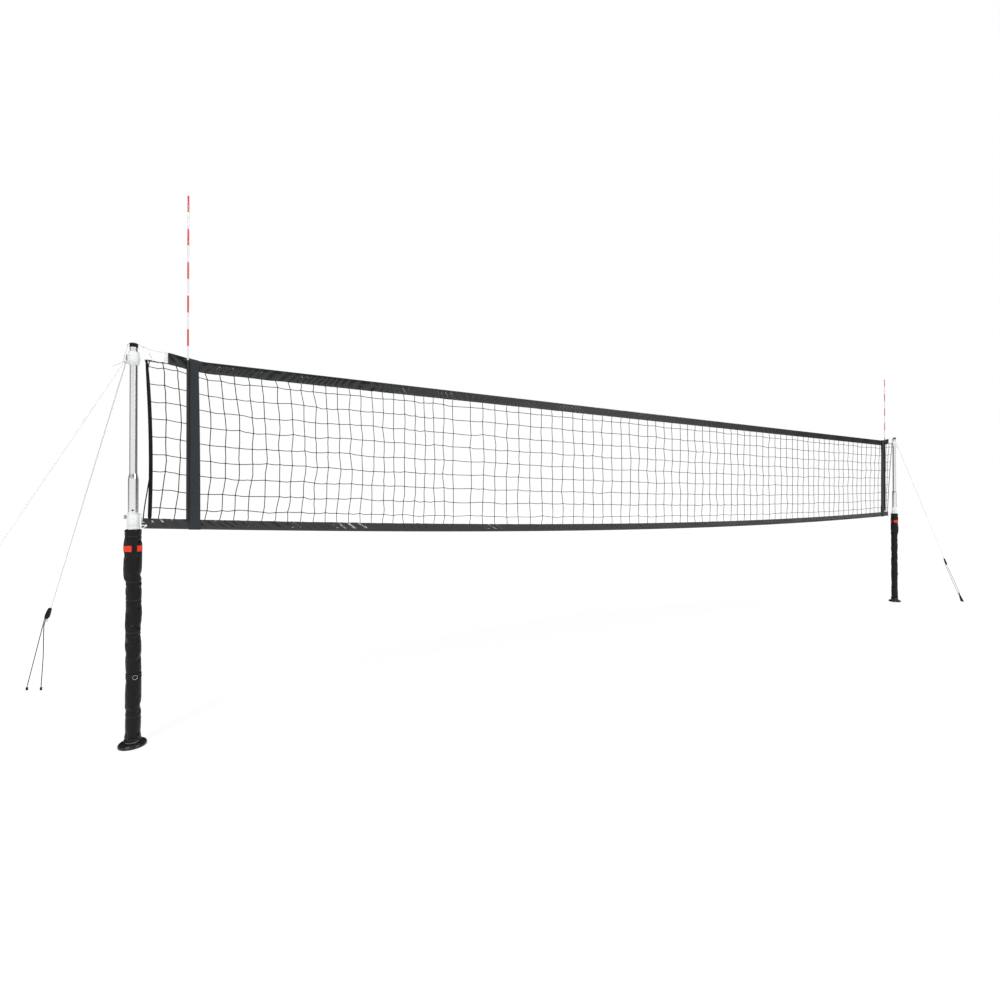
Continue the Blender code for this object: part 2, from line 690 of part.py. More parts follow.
def add_head(side, mast):
    """The guy ring with its two lugs, and the rope cleat on its outer side."""
    name = side_name(side)
    x = post_x(side)
    outline = [(RING_INNER + wall, MAST_TOP - drop) for drop, wall in zip(RING_DROPS, RING_WALLS)]
    outline += [(RING_INNER, outline[-1][1]), (RING_INNER, outline[0][1])]
    ring = solid(f"guy_ring_{name}", turned(outline, POST_SIDES, (x, 0.0, 0.0)), "white plastic", mast)
    for front in (False, True):
        lug, main, _ = guy_plan(side, front)
        away = -1.0 if front else 1.0
        inner = post_x(side, -(RING_INNER + LUG_ROOT_DEPTH))
        outer = post_x(side, -(LUG_OUT + LUG_MARGIN))
        near = away * (LUG_ASIDE - LUG_MARGIN)
        far = away * (LUG_ASIDE + LUG_MARGIN)
        low = (min(inner, outer), min(near, far), LUG_HEIGHT - LUG_THICKNESS / 2)
        high = (max(inner, outer), max(near, far), LUG_HEIGHT + LUG_THICKNESS / 2)
        combine(ring, box(low, high), "UNION")
    for front in (False, True):
        lug, main, _ = guy_plan(side, front)
        along = (main - lug).normalized()
        combine(ring, rod(lug - along * 0.010, lug + along * 0.010, HOLE_RADIUS, 12), "DIFFERENCE")

    face = RING_RADIUS + SEAT_GAP
    outline = [
        (face, CLEAT_TOP - 0.002),
        (face + CLEAT_DEPTH, CLEAT_TOP),
        (face + CLEAT_DEPTH + CLEAT_LEAN, CLEAT_BOTTOM + 0.008),
        (face + CLEAT_DEPTH + CLEAT_LEAN * 0.8, CLEAT_BOTTOM - 0.002),
        (face, CLEAT_BOTTOM + 0.002),
    ]
    rings = []
    for aside in (-0.5, 0.5):
        rings.append([Vector((post_x(side, -d), aside * CLEAT_WIDTH, z)) for d, z in outline])
    solid(f"rope_cleat_{name}", lofted(rings), "grey plastic", mast)


def head_rope_points():
    """The head rope's route: cleat, over one cap, through the upper band, over the other cap, cleat."""
    over = CAP_TOP - ROPE_RADIUS
    edge = CAP_RADIUS
    face = RING_RADIUS + SEAT_GAP + CLEAT_DEPTH
    clear = ROPE_RADIUS + 1.5 * CORD_GAP
    end = []
    for out, drop in zip(TAIL_OUT_LENGTHS, TAIL_DROP_HEIGHTS):
        end.append((face + out, CLEAT_BOTTOM - drop))
    end.append((face + CLEAT_LEAN + clear, CLEAT_BOTTOM + 0.008))
    end.append((face + CLEAT_LEAN * 0.5 + clear, (CLEAT_TOP + CLEAT_BOTTOM) / 2 + 0.004))
    end.append((face + clear + 0.0006, CLEAT_TOP + 0.001))
    end.append((edge + 0.0135, CAP_BOTTOM - 0.014))
    end.append((edge + 0.0100, CAP_TOP - 0.015))
    end.append((edge + 0.0070, CAP_TOP - 0.0065))
    end.append((edge + 0.0010, over))
    end.append((-edge - 0.0010, over))
    near = [(-distance, height) for distance, height in end]
    near.append((TIE_DISTANCE, (over + NET_TOP + BAND_RISE_HEIGHT) / 2 + 0.003))
    counts = [2, 1, 2, 2, 1, 1, 1, 2, 2, 1, 1]
    inside = [BAND_END * 0.6, BAND_END - 0.006]
    inside += [BAND_END + BAND_RISE_LENGTH * step / BAND_STEPS for step in range(BAND_STEPS + 1)]
    for distance in inside:
        height = band_top(post_x(LEFT, distance)) - ROPE_DROP
        if distance < BAND_END:
            height += (BAND_END - distance) * 0.08
        near.append((distance, height))
        counts.append(1)
    left = [(post_x(LEFT, d), 0.0, z) for d, z in near]
    right = [(post_x(RIGHT, d), 0.0, z) for d, z in reversed(near)]
    return smooth_route(left + right, counts + [10] + list(reversed(counts)))


def bottom_stations():
    """The places along the lower band where its slope changes."""
    start, end = post_x(LEFT, BOTTOM_END_LEFT), post_x(RIGHT, BOTTOM_END_RIGHT)
    return [start + (end - start) * step / BOTTOM_STATIONS for step in range(BOTTOM_STATIONS + 1)]


def foot_rope_points():
    """The foot rope's route: a turn round each mast above its collar, and through the lower band."""
    route = []
    counts = []
    for side in (LEFT, RIGHT):
        around = MAST_RADIUS + TURN_GAP + ROPE_RADIUS
        height = COLLAR_TOP + RUNNING_GAP + ROPE_RADIUS
        inward = 0.0 if side == LEFT else 180.0
        centre = Vector((post_x(side), 0.0, 0.0))
        turn = []
        for point in range(TURN_POINTS + 1):
            share = point / TURN_POINTS
            angle = math.radians(inward + 40.0 + 305.0 * share)
            climb = height + 0.0075 * (1.0 - share)
            turn.append(centre + Vector((around * math.cos(angle), around * math.sin(angle), climb)))
        end = BOTTOM_END_LEFT if side == LEFT else BOTTOM_END_RIGHT
        drop = band_bottom(post_x(side, end)) + ROPE_DROP
        clear = COLLAR_RADIUS + 0.0075
        turn.append(Vector((post_x(side, around + 0.0062), -0.0015, COLLAR_TOP + 0.0025)))
        turn.append(Vector((post_x(side, clear), 0.0, COLLAR_TOP - 0.012)))
        if side == LEFT:
            turn.append(Vector((post_x(side, end - 0.0055), 0.0, drop + 0.012)))
            turn.append(Vector((post_x(side, end - 0.0040), 0.0, drop + 0.0040)))
            turn.append(Vector((post_x(side, end - 0.0003), 0.0, drop + 0.0003)))
        else:
            turn.append(Vector((post_x(side, clear + 0.5 * (end - clear)), 0.0, drop + 0.022)))
            turn.append(Vector((post_x(side, end - 0.030), 0.0, drop + 0.0035)))
            turn.append(Vector((post_x(side, end - 0.008), 0.0, drop + 0.0002)))
        turn.append(Vector((post_x(side, end + 0.012), 0.0, band_bottom(post_x(side, end + 0.012)) + ROPE_DROP)))
        if side == LEFT:
            route += turn
            counts += [1] * TURN_POINTS + [1, 1, 1, 1, 1, 1]
        else:
            middle = bottom_stations()[1:-1]
            route += [Vector((x, 0.0, band_bottom(x) + ROPE_DROP)) for x in middle]
            counts += [1] * (len(middle) + 1)
            route += list(reversed(turn))
            counts += [1, 1, 1, 1, 1, 1] + [1] * TURN_POINTS
    return smooth_route(route, counts)


def band_section(height, upright):
    """The folded band's section in (y, z): a round fold over the rope, drawn in to the net below."""
    fold = []
    for step in range(5):
        around = math.pi * step / 4
        fold.append((math.cos(around), math.sin(around)))
    outer = [(BAND_HALF * c, BAND_HALF * s) for c, s in fold]
    inner = [(BAND_INNER * c, BAND_INNER * s) for c, s in fold]
    drop = height - BAND_HALF
    waist = 4.0 * BAND_HALF
    mouth = BAND_MOUTH
    legs_outer = [(-(mouth + BAND_WALL), -waist), (-(mouth + BAND_WALL), -drop)]
    legs_inner = [(-mouth, -drop), (-mouth, -waist)]
    section = outer + legs_outer + legs_inner + list(reversed(inner))
    section += [(mouth, -waist), (mouth, -drop), (mouth + BAND_WALL, -drop), (mouth + BAND_WALL, -waist)]
    lift = -BAND_HALF if upright else BAND_HALF
    turn = 1.0 if upright else -1.0
    return [(y, turn * z + lift) for y, z in section]


def pocket_floor(side):
    """Height of the floor of one antenna's pocket, above that side's lower corner of the net."""
    if side == LEFT:
        return NET_BOTTOM_LEFT + POCKET_FLOOR_HEIGHT_LEFT
    return NET_BOTTOM_RIGHT + POCKET_FLOOR_HEIGHT_RIGHT


def add_bands(mast):
    """The two folded bands along the net's edges and the two side bands with their pockets."""
    start, end = post_x(LEFT, BAND_END), post_x(RIGHT, BAND_END)
    rise = [BAND_RISE_LENGTH * step / BAND_STEPS for step in range(1, BAND_STEPS + 1)]
    stations = [start] + [start + r for r in rise]
    stations += [start + BAND_RISE_LENGTH + (end - start - 2 * BAND_RISE_LENGTH) * s / 8 for s in range(1, 8)]
    stations += [end - r for r in reversed(rise)] + [end]
    section = band_section(TOP_BAND_HEIGHT, True)
    rings = [[Vector((x, y, band_top(x) + z)) for y, z in section] for x in stations]
    solid("top_band", lofted(rings), "charcoal fabric", mast)

    section = band_section(BOTTOM_BAND_HEIGHT, False)
    rings = [[Vector((x, y, band_bottom(x) + z)) for y, z in section] for x in bottom_stations()]
    solid("bottom_band", lofted(rings), "charcoal fabric", mast)

    for side in (LEFT, RIGHT):
        near = SIDE_BAND_LEFT if side == LEFT else SIDE_BAND_RIGHT
        rings = []
        far = near + SIDE_BAND_WIDTH
        bends = [BAND_END + BAND_RISE_LENGTH * step / BAND_STEPS for step in range(BAND_STEPS + 1)]
        for distance in [near] + [bend for bend in bends if near + 0.001 < bend < far - 0.001] + [far]:
            x = post_x(side, distance)
            top = band_top(x) + CORD_GAP
            low = band_bottom(x) - CORD_GAP
            wide, wall = SIDE_BAND_HALF, SIDE_BAND_WALL
            outer = [(-wide, low - wall), (wide, low - wall), (wide, top + wall), (-wide, top + wall)]
            inner = [(-wide + wall, low), (wide - wall, low), (wide - wall, top), (-wide + wall, top)]
            rings.append([Vector((x, y, z)) for y, z in outer] + [Vector((x, y, z)) for y, z in inner])
        band = solid(f"side_band_{side_name(side)}", ring_loft(rings), "charcoal fabric", mast)
        spot = (post_x(side, near + 0.4 * POCKET_RADIUS), POCKET_Y, 0.0)
        floor = pocket_floor(side)
        pocket = [
            (0.0, floor),
            (POCKET_INNER, floor),
            (POCKET_INNER, POCKET_TOP),
            (POCKET_RADIUS, POCKET_TOP),
            (POCKET_RADIUS, floor - POCKET_FLOOR_THICKNESS),
            (0.0, floor - POCKET_FLOOR_THICKNESS),
        ]
        shape = turned(pocket, 16, spot, start=11.25)
        bmesh.ops.remove_doubles(shape, verts=shape.verts, dist=1e-6)
        combine(band, shape, "UNION")


def ring_loft(rings):
    """Skins rings that each hold four outer and four inner corners, with an open middle."""
    shape = bmesh.new()
    loops = [[shape.verts.new(point) for point in ring] for ring in rings]
    for one, other in zip(loops, loops[1:]):
        for base in (0, 4):
            for index in range(4):
                this, after = base + index, base + (index + 1) % 4
                shape.faces.new((one[this], one[after], other[after], other[this]))
    for loop in (loops[0], loops[-1]):
        for index in range(4):
            after = (index + 1) % 4
            shape.faces.new((loop[index], loop[after], loop[4 + after], loop[4 + index]))
    return shape


def add_net(mast):
    """The corded mesh as one flat net, and the webbing down its two side edges."""
    half = MESH_CORD / 2

    def crossing(column, row):
        along, down = column / MESH_COLUMNS, row / MESH_ROWS
        shift = EDGE_WIDTH / 2 + EDGE_GAP + half
        left = post_x(LEFT, edge_distance(LEFT, down) + shift)
        right = post_x(RIGHT, edge_distance(RIGHT, down) + shift)
        left_mean = post_x(LEFT, edge_distance(LEFT, 0.5) + shift)
        right_mean = post_x(RIGHT, edge_distance(RIGHT, 0.5) + shift)
        x = left_mean + (right_mean - left_mean) * along
        x += (left - left_mean) * (1.0 - along) ** 16 + (right - right_mean) * along**16
        return Vector((x, 0.0, mesh_top(x) + (mesh_bottom(x) - mesh_top(x)) * down))

    for side in (LEFT, RIGHT):
        column = 0 if side == LEFT else MESH_COLUMNS
        levels = [(row / MESH_ROWS, crossing(column, row).z) for row in range(MESH_ROWS + 1)]
        levels.insert(0, (0.0, levels[0][1] + EDGE_OVERRUN))
        levels.append((1.0, levels[-1][1] - EDGE_OVERRUN))
        rings = []
        for share, height in levels:
            middle = edge_distance(side, share)
            inner, outer = post_x(side, middle + EDGE_WIDTH / 2), post_x(side, middle - EDGE_WIDTH / 2)
            deep = EDGE_THICKNESS / 2
            corners = ((inner, -deep), (outer, -deep), (outer, deep), (inner, deep))
            rings.append([Vector((x, y, height)) for x, y in corners])
        solid(f"side_edge_{side_name(side)}", lofted(rings), "black cord", mast)

    shape = bmesh.new()
    knots = {}
    for row in range(MESH_ROWS + 1):
        for column in range(MESH_COLUMNS + 1):
            spot = crossing(column, row)
            corners = []
            for y in (-half, half):
                for a, c in ((-half, half), (half, half), (half, -half), (-half, -half)):
                    corners.append(shape.verts.new(spot + Vector((a, y, c))))
            knots[column, row] = corners
            shape.faces.new(corners[:4])
            shape.faces.new(corners[4:])
    sides = {"right": (1, 2), "left": (0, 3), "down": (3, 2), "up": (0, 1)}

    def bridge(one, one_side, other, other_side):
        a, b = sides[one_side]
        c, d = sides[other_side]
        near = [one[a], one[b], one[b + 4], one[a + 4]]
        far = [other[c], other[d], other[d + 4], other[c + 4]]
        for index in range(4):
            after = (index + 1) % 4
            shape.faces.new((near[index], near[after], far[after], far[index]))

    def close(one, one_side):
        a, b = sides[one_side]
        shape.faces.new((one[a], one[b], one[b + 4], one[a + 4]))

    for row in range(MESH_ROWS + 1):
        for column in range(MESH_COLUMNS + 1):
            here = knots[column, row]
            if column < MESH_COLUMNS:
                bridge(here, "right", knots[column + 1, row], "left")
            else:
                close(here, "right")
            if column == 0:
                close(here, "left")
            if row < MESH_ROWS:
                bridge(here, "down", knots[column, row + 1], "up")
            else:
                close(here, "down")
            if row == 0:
                close(here, "up")
    solid("net_mesh", shape, "black cord", mast)


def add_corner_pieces(mast, rope):
    """The thin ties at the net's upper corners and the hooks at its lower ones."""
    for side in (LEFT, RIGHT):
        name = side_name(side)
        x = post_x(side, TIE_DISTANCE)
        near = min(rope, key=lambda point: abs(point.x - x) + (0.0 if point.z > NET_TOP else 9.0))
        around = ROPE_RADIUS + CORD_GAP + TIE_RADIUS
        points = []
        for step in range(9):
            angle = math.radians(-150.0 + 300.0 * step / 8)
            drift = side * 0.0035 * (0.5 - step / 8)
            points.append(Vector((near.x + drift, around * math.sin(angle), near.z + around * math.cos(angle))))
        points.reverse()
        front = -(EDGE_THICKNESS / 2 + SEAT_GAP + TIE_RADIUS)
        edge = edge_distance(side, 0.0) - EDGE_WIDTH * 0.3
        foot_x = post_x(side, edge)
        last = points[-1]
        edge_top = mesh_top(foot_x) + EDGE_OVERRUN
        points.append(Vector(((last.x + foot_x) / 2, front, (near.z + edge_top) / 2)))
        points.append(Vector((foot_x, front, edge_top + 0.004)))
        points.append(Vector((foot_x, front, edge_top - 0.020)))
        cord(f"corner_tie_{name}", points, TIE_RADIUS, "white rope", mast)

        end = BOTTOM_END_LEFT if side == LEFT else BOTTOM_END_RIGHT
        start = end + 0.006
        rings = []
        back = -(BAND_HALF + SEAT_GAP)
        for share, inset in ((0.0, 0.003), (0.15, 0.0), (0.85, 0.0), (1.0, 0.003)):
            distance = start + HOOK_LENGTH * share
            place_x = post_x(side, distance)
            middle = band_bottom(place_x) + BAND_HALF + 0.003
            tall, deep = HOOK_HEIGHT / 2 - inset, HOOK_THICKNESS - inset * 0.5
            ring = [(back, middle - tall), (back, middle + tall)]
            ring += [(back - deep * 0.7, middle + tall), (back - deep, middle + tall * 0.5)]
            ring += [(back - deep, middle - tall * 0.5), (back - deep * 0.7, middle - tall)]
            rings.append([Vector((place_x, y, z)) for y, z in ring])
        solid(f"corner_hook_{name}", lofted(rings), "white plastic", mast)


def add_antenna(side, axis):
    """One antenna, upright in its pocket."""
    near = SIDE_BAND_LEFT if side == LEFT else SIDE_BAND_RIGHT
    raised = ANTENNA_RAISED_LEFT if side == LEFT else 0.0
    bottom = pocket_floor(side) + SEAT_GAP + raised
    top = bottom + ANTENNA_LENGTH
    outline = [
        (0.0, top),
        (ANTENNA_RADIUS * 0.6, top),
        (ANTENNA_RADIUS, top - 0.002),
        (ANTENNA_RADIUS, bottom + 0.001),
        (ANTENNA_RADIUS * 0.8, bottom),
        (0.0, bottom),
    ]
    centre = (post_x(side, near + 0.4 * POCKET_RADIUS), POCKET_Y, 0.0)
    made = solid(f"antenna_{side_name(side)}", turned(outline, 12, centre), "antenna", axis)
    set_origin(made, axis.location)
    made.matrix_parent_inverse = Matrix.Translation(-axis.location)


def frame_along(along):
    """Two directions square to a line: one level, and one square to both."""
    level = along.cross(Vector((0.0, 0.0, 1.0))).normalized()
    return level, along.cross(level).normalized()


def tensioner_start(side):
    return LEFT_TENSIONER if side == LEFT else RIGHT_TENSIONER


def add_guy(side, front, mast):
    """One guy: its rope, its sliding tensioner, its two legs and what holds them to the ground."""
    name = f"{side_name(side)}_{'front' if front else 'back'}"
    lug, main, second = guy_plan(side, front)
    along = (main - lug).normalized()
    level, square = frame_along(along)
    start = tensioner_start(side)
    end = start + TENSIONER_LENGTH

    tail = end + GUY_TAIL
    distances = [-0.0150, -0.0125, -0.0085, -0.0065, 0.01, 0.03]
    distances += [start * share for share in (0.25, 0.5, 0.75)]
    distances += [start, end, tail - 0.009, tail - 0.007, tail - 0.003, tail]
    knot = KNOT_RADIUS / GUY_RADIUS
    last = len(distances) - 1
    swells = {0: 0.7, 1: knot, 2: knot, 3: 1.0}
    swells |= {last - 3: 1.0, last - 2: knot * 0.85, last - 1: knot * 0.85, last: 0.7}
    rope = [lug + along * distance for distance in distances]
    cord(f"guy_rope_{name}", rope, GUY_RADIUS, "white rope", mast, swells=swells)

    slide = empty(f"tensioner_axis_{name}", lug + along * start)
    across = -BORE_OFFSET
    rings = []
    edge = TENSIONER_EDGE
    for distance, inset in ((start, edge), (start + edge, 0.0), (end - edge, 0.0), (end, edge)):
        wide = TENSIONER_WIDTH / 2 - inset * 0.6
        thick = TENSIONER_THICKNESS / 2 - inset * 0.4
        middle = lug + along * distance + level * across
        ring = [(-wide, -thick * 0.6), (-wide, thick * 0.6), (-wide * 0.8, thick), (wide * 0.8, thick)]
        ring += [(wide, thick * 0.6), (wide, -thick * 0.6), (wide * 0.8, -thick), (-wide * 0.8, -thick)]
        rings.append([middle + level * a + square * b for a, b in ring])
    block = solid(f"tensioner_{name}", lofted(rings), "black plastic", slide)
    margin = along * 0.01
    combine(block, rod(lug + along * start - margin, lug + along * end + margin, HOLE_RADIUS, 12), "DIFFERENCE")
    eye = lug + along * (end - EYE_INSET) + level * (across - BORE_OFFSET)
    reach = square * TENSIONER_THICKNESS
    combine(block, rod(eye - reach, eye + reach, LEG_HOLE, 12), "DIFFERENCE")
    set_origin(block, slide.location)
    block.matrix_parent_inverse = Matrix.Translation(-slide.location)

    out = TENSIONER_THICKNESS / 2 + LEG_RADIUS + CORD_GAP
    toward = 1.0 if (second - main).dot(square) >= 0.0 else -1.0
    if side == LEFT:
        peg_top = Vector((0.0, 0.0, PEG_HEIGHT))
        first_foot, second_foot = main - peg_top, second - peg_top
        seat = PEG_HEIGHT - 0.010
        one = [first_foot + Vector((0.0, 0.0, seat)), main + Vector((0.0, 0.0, 0.003))]
        lead = (eye - main).normalized()
        one.append(main + lead * 0.020 + Vector((0.0, 0.0, 0.002)))
        one.append(eye - square * toward * out + along * 0.020)
        two = [eye + square * toward * out + along * 0.020]
        parting = eye + square * toward * out + along * LEG_PARTING
        two.append(parting)
        slack = (parting + second) / 2 + level * 0.004 + Vector((0.0, 0.0, -0.006))
        two += [slack, second + Vector((0.0, 0.0, 0.003)), second_foot + Vector((0.0, 0.0, seat))]
        for peg_name, foot in (("peg", first_foot), ("second_peg", second_foot)):
            outline = [
                (0.0, PEG_HEIGHT - 0.0103),
                (LEG_HOLE, PEG_HEIGHT - 0.0103),
                (LEG_HOLE, PEG_HEIGHT),
                (PEG_RADIUS * 0.8, PEG_HEIGHT),
                (PEG_RADIUS, PEG_HEIGHT - 0.003),
                (PEG_RADIUS, 0.002),
                (PEG_RADIUS * 0.9, 0.0),
                (0.0, 0.0),
            ]
            solid(f"{peg_name}_{name}", turned(outline, 12, foot), "black plastic")
    else:
        cross = square
        head = main
        gap = 0.0006
        side_out = ANCHOR_HEAD[1] / 2 + LEG_RADIUS + CORD_GAP
        one = [head - cross * gap, head - cross * side_out]
        one.append(head - cross * (side_out + 0.002) - along * 0.03)
        one.append(eye - cross * (out + 0.004) + along * 0.06 - level * 0.006)
        one.append(eye - cross * out + along * 0.016)
        two = [eye + cross * out + along * 0.016, eye + cross * (out + 0.006) + along * 0.06 + level * 0.007]
        two.append(head + cross * (side_out + 0.002) - along * 0.03)
        two += [head + cross * side_out, head + cross * gap]
        add_ground_anchor(name, side, front, lug, main)
        toward = 1.0
    apex = [eye - square * toward * out, eye - square * toward * out * 0.4]
    apex += [eye + square * toward * out * 0.4, eye + square * toward * out]
    route = one + apex + two
    counts = [1] + [2] * (len(one) - 2) + [1, 2, 1, 2, 1]
    counts += [4 if index == 1 else 1 for index in range(len(two) - 2)] + [1]
    finish = "black cord" if side == LEFT else "elastic"
    cord(f"leg_cord_{name}", smooth_route(route, counts), LEG_RADIUS, finish)


def add_ground_anchor(name, side, front, lug, head):
    """A tapered ground anchor that stands on the surface, in line with its guy."""
    along = (head - lug).normalized()
    foot = head + along * (head.z / -along.z)
    level, square = frame_along(along)
    flat = Vector((square.x, square.y, 0.0)).normalized()
    top = foot - along * (ANCHOR_HEIGHT / -along.z)
    rings = []
    for share, size in ((0.0, ANCHOR_FOOT), (0.25, ANCHOR_FOOT), (0.85, ANCHOR_HEAD), (1.0, ANCHOR_HEAD)):
        middle = foot + (top - foot) * share
        wide, deep = size[0] / 2, size[1] / 2
        if share == 0.25:
            wide, deep = wide * 0.88, deep * 0.9
        if share == 1.0:
            wide, deep = wide * 0.6, deep * 0.7
        ring = []
        for corner in range(12):
            around = 2 * math.pi * corner / 12
            ring.append(middle + level * wide * math.cos(around) + flat * deep * math.sin(around))
        rings.append(ring)
    made = solid(f"ground_anchor_{name}", lofted(rings), "black plastic")
    combine(made, rod(head - square * 0.04, head + square * 0.04, LEG_HOLE, 12), "DIFFERENCE")


def main():
    clear_scene()
    masts = {side: empty(f"{side_name(side)}_mast_axis", (post_x(side), 0.0, 0.0)) for side in (LEFT, RIGHT)}
    net_body = masts[LEFT]
    for side in (LEFT, RIGHT):
        name = side_name(side)
        mast = masts[side]
        add_post(side, mast)
        add_pad(side)
        knob_axis = empty(f"knob_axis_{name}", (post_x(side, -COLLAR_RADIUS), 0.0, KNOB_HEIGHT))
        button_axis = empty(f"button_axis_{name}", (post_x(side), -MAST_RADIUS, BUTTON_HEIGHT))
        add_controls(side, mast, knob_axis, button_axis)
        add_head(side, mast)
        near = SIDE_BAND_LEFT if side == LEFT else SIDE_BAND_RIGHT
        antenna_x = post_x(side, near + 0.4 * POCKET_RADIUS)
        antenna_axis = empty(f"antenna_axis_{name}", (antenna_x, POCKET_Y, pocket_floor(side)))
        add_antenna(side, antenna_axis)
        for front in (False, True):
            add_guy(side, front, mast)
    rope = head_rope_points()
    cord("head_rope", rope, ROPE_RADIUS, "white rope", net_body)
    cord("foot_rope", foot_rope_points(), ROPE_RADIUS, "white rope", net_body)
    add_bands(net_body)
    add_net(net_body)
    add_corner_pieces(net_body, rope)


main()
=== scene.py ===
"""Portable volleyball net system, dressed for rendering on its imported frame.

X runs along the net, Y away from the viewer and Z up. Lengths are in metres. Each
post's pieces are placed by a distance measured from its axis towards the net.
"""

import logging
import math
from dataclasses import dataclass, field
from enum import Enum
from functools import partialmethod
from typing import Any, Callable, Iterable, Optional, Sequence

import bmesh
import bpy
from mathutils import Matrix, Vector, noise
from mathutils.bvhtree import BVHTree


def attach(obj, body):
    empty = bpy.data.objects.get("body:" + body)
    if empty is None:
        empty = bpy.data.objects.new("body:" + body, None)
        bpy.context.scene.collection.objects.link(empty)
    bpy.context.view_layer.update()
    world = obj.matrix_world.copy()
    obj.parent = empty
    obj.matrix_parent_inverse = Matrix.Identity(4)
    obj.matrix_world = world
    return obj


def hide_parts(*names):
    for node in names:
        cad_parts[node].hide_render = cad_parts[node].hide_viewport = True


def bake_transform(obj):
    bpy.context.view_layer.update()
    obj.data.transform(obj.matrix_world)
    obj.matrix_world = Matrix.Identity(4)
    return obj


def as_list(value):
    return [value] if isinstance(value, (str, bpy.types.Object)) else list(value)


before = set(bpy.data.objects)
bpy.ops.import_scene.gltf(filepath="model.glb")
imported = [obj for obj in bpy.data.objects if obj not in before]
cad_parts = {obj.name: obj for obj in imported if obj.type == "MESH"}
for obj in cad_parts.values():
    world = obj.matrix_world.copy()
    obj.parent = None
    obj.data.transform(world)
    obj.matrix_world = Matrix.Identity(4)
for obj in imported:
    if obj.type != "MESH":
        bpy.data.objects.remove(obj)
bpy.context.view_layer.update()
LOG = logging.getLogger("net_system")
Outline = Sequence[tuple[float, float]]
Colour = tuple[float, float, float, float]
Shape = bmesh.types.BMesh
UP = Vector((0.0, 0.0, 1.0))


class Named(Enum):
    """Options that the CAD nodes write in lower case."""

    @property
    def label(self) -> str:
        """The option's name as the CAD nodes write it."""
        return self.name.lower()


class Side(Named):
    """The two posts, with the sign of their X."""

    LEFT = -1
    RIGHT = 1

    def of(self, pair: Sequence[Any]) -> Any:
        """This side's one of two values, of which the left one comes first."""
        return pair[0] if self is Side.LEFT else pair[1]


class Row(Named):
    """The two guys of a post, with the sign of their Y."""

    BACK = 1
    FRONT = -1


# Materials


class Wire:
    """A socket of a material, on which Python's arithmetic adds Math nodes."""

    def __init__(self, graph: "Graph", socket: bpy.types.NodeSocket) -> None:
        """Keeps the socket and its tree."""
        self.graph = graph
        self.socket = socket

    def math(self, operation: str, *others: Any) -> "Wire":
        """Adds one Math node, with this value first."""
        return self.graph.node("Math", dict(enumerate((self, *others))), operation=operation)

    def __rsub__(self, other: Any) -> "Wire":
        """other - self."""
        return self.graph.node("Math", {0: other, 1: self}, operation="SUBTRACT")

    __add__ = __radd__ = partialmethod(math, "ADD")
    __mul__ = __rmul__ = partialmethod(math, "MULTIPLY")
    __sub__ = partialmethod(math, "SUBTRACT")
    __truediv__ = partialmethod(math, "DIVIDE")
    __pow__ = partialmethod(math, "POWER")
    __gt__ = partialmethod(math, "GREATER_THAN")
    __lt__ = partialmethod(math, "LESS_THAN")
    sine = partialmethod(math, "SINE")
    unsigned = partialmethod(math, "ABSOLUTE")

    def ramp(self, low: float, high: float) -> "Wire":
        """0 below low, 1 above high, and straight between them."""
        return self.graph.node("MapRange", {"Value": self, "From Min": low, "From Max": high}, "Result")


class Graph:
    """The node tree of one material or world."""

    def __init__(self, tree: bpy.types.NodeTree) -> None:
        """Keeps the tree."""
        self.tree = tree

    def node(self, kind: str, inputs: Optional[dict[Any, Any]] = None, output: Any = 0, **settings: Any) -> Wire:
        """Adds a node.

        Args:
            kind: Its type, without the leading ShaderNode.
            inputs: A value or a Wire for each socket, by name or number.
            output: The socket that is handed back.
            **settings: Its own settings, which are set first.

        Returns:
            The chosen output.
        """
        made = self.tree.nodes.new("ShaderNode" + kind)
        for key, value in settings.items():
            setattr(made, key, value)
        for key, value in (inputs or {}).items():
            self.feed(made.inputs[key], value)
        return Wire(self, made.outputs[output])

    def feed(self, socket: bpy.types.NodeSocket, value: Any) -> None:
        """Links a Wire to a socket, or sets the socket's own value."""
        if isinstance(value, Wire):
            self.tree.links.new(value.socket, socket)
        else:
            socket.default_value = value

    def mix(self, share: Any, one: Any, other: Any) -> Wire:
        """A colour between one and other, as share goes from 0 to 1."""
        return self.node("Mix", {0: share, 6: one, 7: other}, 2, data_type="RGBA")

    def place(self) -> Wire:
        """The object's own coordinates, in metres."""
        return self.node("TexCoord", output="Object")

    def axes(self, vector: Wire) -> list[Wire]:
        """The three numbers of a vector."""
        return [Wire(self, part) for part in self.node("SeparateXYZ", {0: vector}).socket.node.outputs]

    def cloud(self, vector: Wire, scale: float, detail: float = 2.0) -> Wire:
        """Soft noise from 0 to 1."""
        return self.node("TexNoise", {"Vector": vector, "Scale": scale, "Detail": detail}, "Fac")

    def streaks(self, by: tuple[float, float, float], detail: float) -> Wire:
        """Soft noise in the object's coordinates, stretched by a number for each axis."""
        vector = self.node("VectorMath", {0: self.place(), 1: by}, operation="MULTIPLY")
        return self.cloud(vector, 1.0, detail)

    def surface(self, name: str) -> list[Wire]:
        """The three numbers of a piece's vector attribute, which follows its surface."""
        return self.axes(self.node("Attribute", output="Vector", attribute_name=name))

    def rays(self) -> list[Wire]:
        """1 for the camera's rays, for reflected ones, and for those that passed through something."""
        outputs = self.node("LightPath").socket.node.outputs
        return [Wire(self, outputs[f"Is {kind} Ray"]) for kind in ("Camera", "Glossy", "Transmission")]


def grey(value: float) -> Colour:
    """A neutral colour."""
    return (value, value, value, 1.0)


